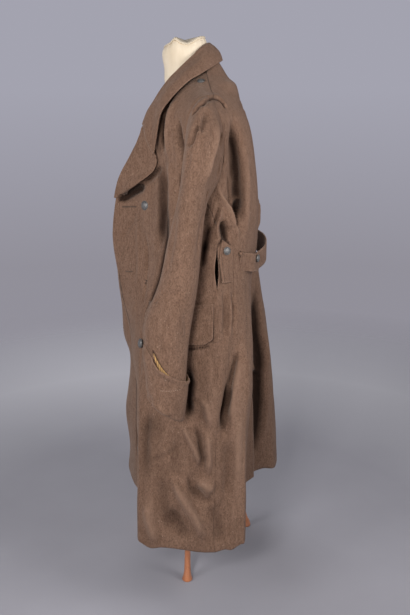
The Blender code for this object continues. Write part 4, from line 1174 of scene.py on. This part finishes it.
def lining_lip():
    """The strip of lining between the two paths."""
    tree = tree_of([COAT["left_top_sleeve"].data])
    shape = bmesh.new()
    chains = []
    for path in (LIP_TOP, LIP_LOW):
        spots = []
        for one, other in zip(path, path[1:]):
            for share in np.arange(LIP_STEPS) / LIP_STEPS:
                place = tuple(a + (b - a) * share for a, b in zip(one, other))
                (spot, normal), = dropped("left", (place, place), tree)[:1]
                spots.append(shape.verts.new(spot + normal * LIP_PROUD))
        chains += [shape.edges.new(pair) for pair in zip(spots, spots[1:])]
    bmesh.ops.bridge_loops(shape, edges=chains)
    bmesh.ops.recalc_face_normals(shape, faces=shape.faces)
    made = dress("left_cuff_lining", mesh_of(shape, "left_cuff_lining"), LINING)
    wall = made.modifiers.new("cloth", "SOLIDIFY")
    wall.thickness, wall.offset = LIP_THICK, 0.0
    return made


print("lining:", lining_lip().name)

# %% [markdown]
# Buttons on such a coat are domed discs with a rolled rim, sewn on a short shank. A profile spun round an
# axis makes one; each is then turned to face the way its packed button faces, and put in its place. They stay
# as shown: undoing a button would bend the cloth, so none of them is a moving part.

# %% Buttons; the profile is in shares of the radius and of the height
RIM_PROFILE = ((0.28, -0.30), (0.28, 0.02), (0.72, 0.02), (0.95, 0.12), (1.0, 0.30), (0.985, 0.44),
               (0.93, 0.52), (0.87, 0.50), (0.84, 0.46), (0.78, 0.60), (0.62, 0.78), (0.40, 0.93),
               (0.18, 1.0), (0.0, 1.02))
DIRT_AT, DIRT_HALF = 0.84, 0.06
TURN_STEPS = 28
SHOULDER_UP = 0.3


def facing(node):
    """Middle, axis, radius and height of a packed button: it is flat, so its axis is its thinnest way."""
    points = positions(NODES[node].data)
    middle = points.mean(0)
    _, _, ways = np.linalg.svd(points - middle)
    axis = ways[2]
    outward = np.array([middle[0], middle[1] - FACE_AXIS_Y, SHOULDER_UP if "shoulder" in node else 0.0])
    axis = axis if axis @ outward > 0 else -axis
    high = (points - middle) @ axis
    around = np.linalg.norm(points - middle - high[:, None] * axis, axis=1)
    return Vector(middle + axis * high.min()), Vector(axis), float(around.max()), float(np.ptp(high))


def button(node):
    """A domed button with a rolled rim on a shank."""
    base, axis, radius, high = facing(node)
    shape = bmesh.new()
    spots = [shape.verts.new((r * radius, 0, h * high)) for r, h in RIM_PROFILE]
    edges = [shape.edges.new(pair) for pair in zip(spots, spots[1:])]
    bmesh.ops.spin(shape, geom=spots + edges, cent=(0, 0, 0), axis=(0, 0, 1), angle=2 * math.pi,
                   steps=TURN_STEPS, use_merge=True)
    bmesh.ops.remove_doubles(shape, verts=shape.verts, dist=WELD)
    bmesh.ops.contextual_create(shape, geom=[e for e in shape.edges if e.is_boundary])
    bmesh.ops.recalc_face_normals(shape, faces=shape.faces)
    clean = [1 - bell(v.co.xy.length / radius - DIRT_AT, DIRT_HALF) for v in shape.verts]
    turn = Vector((0, 0, 1)).rotation_difference(axis).to_matrix().to_4x4()
    bmesh.ops.transform(shape, matrix=Matrix.Translation(base) @ turn, verts=shape.verts)
    mesh = shade_smooth(mesh_of(shape, f"{node}_disc"))
    paint(mesh, "rim", clean)
    made = dress(f"{node}_disc", mesh, METAL)
    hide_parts(node)
    return made


BUTTONS = [button(node) for node in sorted(NODES) if "button" in node]
print("buttons:", len(BUTTONS))

# %% [markdown]
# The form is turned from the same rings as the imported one, only smoother. Its linen is one skin from hip to
# neck, closed by a cap. The stand's pole, hub and legs are turned and bent wood, smoothed the same way.

# %% Form and stand; the neck's lump and dip are given by middle in y, half width and height
NECK_SHAPES = ((-0.064, 0.010, 0.010), (-0.030, 0.018, -0.010))
NECK_FROM, NECK_OVER = 1.43, 0.04
FLAT_WITHIN, FORM_LEVELS, FORM_ROUNDS = math.radians(0.5), 2, 3


def neck_top(mesh):
    """The stuffed neck is not cut level: one lump at its front, a dip behind it."""
    points = positions(mesh)
    high = after(points[:, 2], NECK_FROM, NECK_OVER)
    for middle, half, height in NECK_SHAPES:
        points[:, 2] += high * height * bell(points[:, 1] - middle, half)
    move_to(mesh, points)


def smooth_copy(node, look):
    """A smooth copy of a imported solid, through the same points."""
    shape = welded(node)
    bmesh.ops.dissolve_limit(shape, angle_limit=FLAT_WITHIN, verts=shape.verts, edges=shape.edges)
    made = dress(f"{node}_smooth", smooth_through(into_quads(shape), FORM_LEVELS, FORM_ROUNDS), look)
    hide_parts(node)
    return made


FORM = ("form_torso", "form_cap")
STAND = ("form_pole", "form_hub", "form_leg_left", "form_leg_rear", "form_leg_front")
for node in FORM:
    neck_top(smooth_copy(node, LINEN).data)
for node in STAND:
    smooth_copy(node, WOOD)
print("pieces of the form:", len(FORM), "of the stand:", len(STAND))

# %% [markdown]
# The studio has a pale lavender-grey floor. It fades into a plain world of the same colour, so that no
# backdrop stands in the way when the coat is seen from behind. A small lamp near the camera and two larger
# ones at its sides give the soft modelling, one on the far side lights the back, and the world keeps the
# shadows open.

# %% Floor, world and lamps: name, place, what it is turned to, edge, power, colour
STUDIO, LOW_WALL, CEILING = (0.368, 0.366, 0.430), (0.285, 0.276, 0.318), (0.05, 0.05, 0.055)
FLOOR_DARK, FLOOR_PALE, FLOOR_FAR = (0.300, 0.298, 0.334), (0.322, 0.320, 0.358), (0.50, 0.50, 0.54)
FLOOR_HALF, FLOOR_CELLS = 6.0, 8
PALE_FROM, PALE_TO, FADE_FROM, FADE_TO = 0.8, 1.5, 1.5, 2.7
WARM, COOL = (1.0, 0.97, 0.95), (0.98, 0.98, 1.0)
LAMPS = (
    ("front_lamp", (2.05, -0.45, 1.50), (0.15, 0.0, 1.25), 0.45, 34, WARM),
    ("right_lamp", (0.95, 1.35, 1.60), (0.05, 0.05, 1.30), 0.9, 25, WARM),
    ("left_lamp", (1.30, -1.60, 1.45), (0.10, 0.0, 1.20), 0.9, 18, WARM),
    ("far_lamp", (-2.4, -0.6, 2.2), (0.0, 0.0, 0.9), 1.6, 35, COOL),
)


def studio_floor():
    """A wide floor whose edge melts into the world."""
    made, tree, shader, place = new_material("studio_floor_finish")
    colour = mix(tree, ramp(tree, grain(tree, place, 3.0), 0.3, 0.7), FLOOR_DARK, FLOOR_PALE)
    reach = add(tree, "VectorMath", [(0, place)], operation="LENGTH").outputs["Value"]
    colour = mix(tree, ramp(tree, reach, PALE_FROM, PALE_TO), colour, FLOOR_FAR)
    set_shader(tree, shader, {"Base Color": colour, "Roughness": 0.75, "Specular IOR Level": 0.25})
    clear = tree.nodes.new("ShaderNodeBsdfTransparent")
    fade = ramp(tree, reach, FADE_FROM, FADE_TO)
    blend = add(tree, "MixShader", [(0, fade), (1, shader.outputs[0]), (2, clear.outputs[0])])
    tree.links.new(blend.outputs[0], tree.nodes["Material Output"].inputs["Surface"])
    shape = bmesh.new()
    bmesh.ops.create_grid(shape, x_segments=FLOOR_CELLS, y_segments=FLOOR_CELLS, size=FLOOR_HALF)
    floor = in_scene("studio_floor", mesh_of(shape, "studio_floor"))
    floor.data.materials.append(made)


def studio_world():
    """A plain wall all round, darker below the floor's edge and overhead."""
    world = bpy.data.worlds.new("studio_world")
    world.use_nodes = True
    sky = world.node_tree
    seen = sky.nodes.new("ShaderNodeTexCoord").outputs["Generated"]
    way = add(sky, "SeparateXYZ", [(0, seen)]).outputs["Z"]
    wall = mix(sky, ramp(sky, way, -0.22, 0.0), LOW_WALL, STUDIO)
    colour = mix(sky, ramp(sky, way, 0.15, 0.65), wall, CEILING)
    sky.links.new(colour, sky.nodes["Background"].inputs["Color"])
    bpy.context.scene.world = world


def lamp(name, place, aim, size, power, colour):
    """A soft square lamp turned towards a point."""
    light = bpy.data.lights.new(name, "AREA")
    light.shape = "RECTANGLE"
    light.size = light.size_y = size
    light.energy = power
    light.color = colour
    made = in_scene(name, light)
    made.location = place
    made.rotation_euler = (Vector(aim) - Vector(place)).to_track_quat("-Z", "Y").to_euler()


studio_floor()
studio_world()
bpy.context.scene.view_settings.view_transform = "Standard"
for row in LAMPS:
    lamp(*row)
print("lamps:", len(bpy.data.lights))
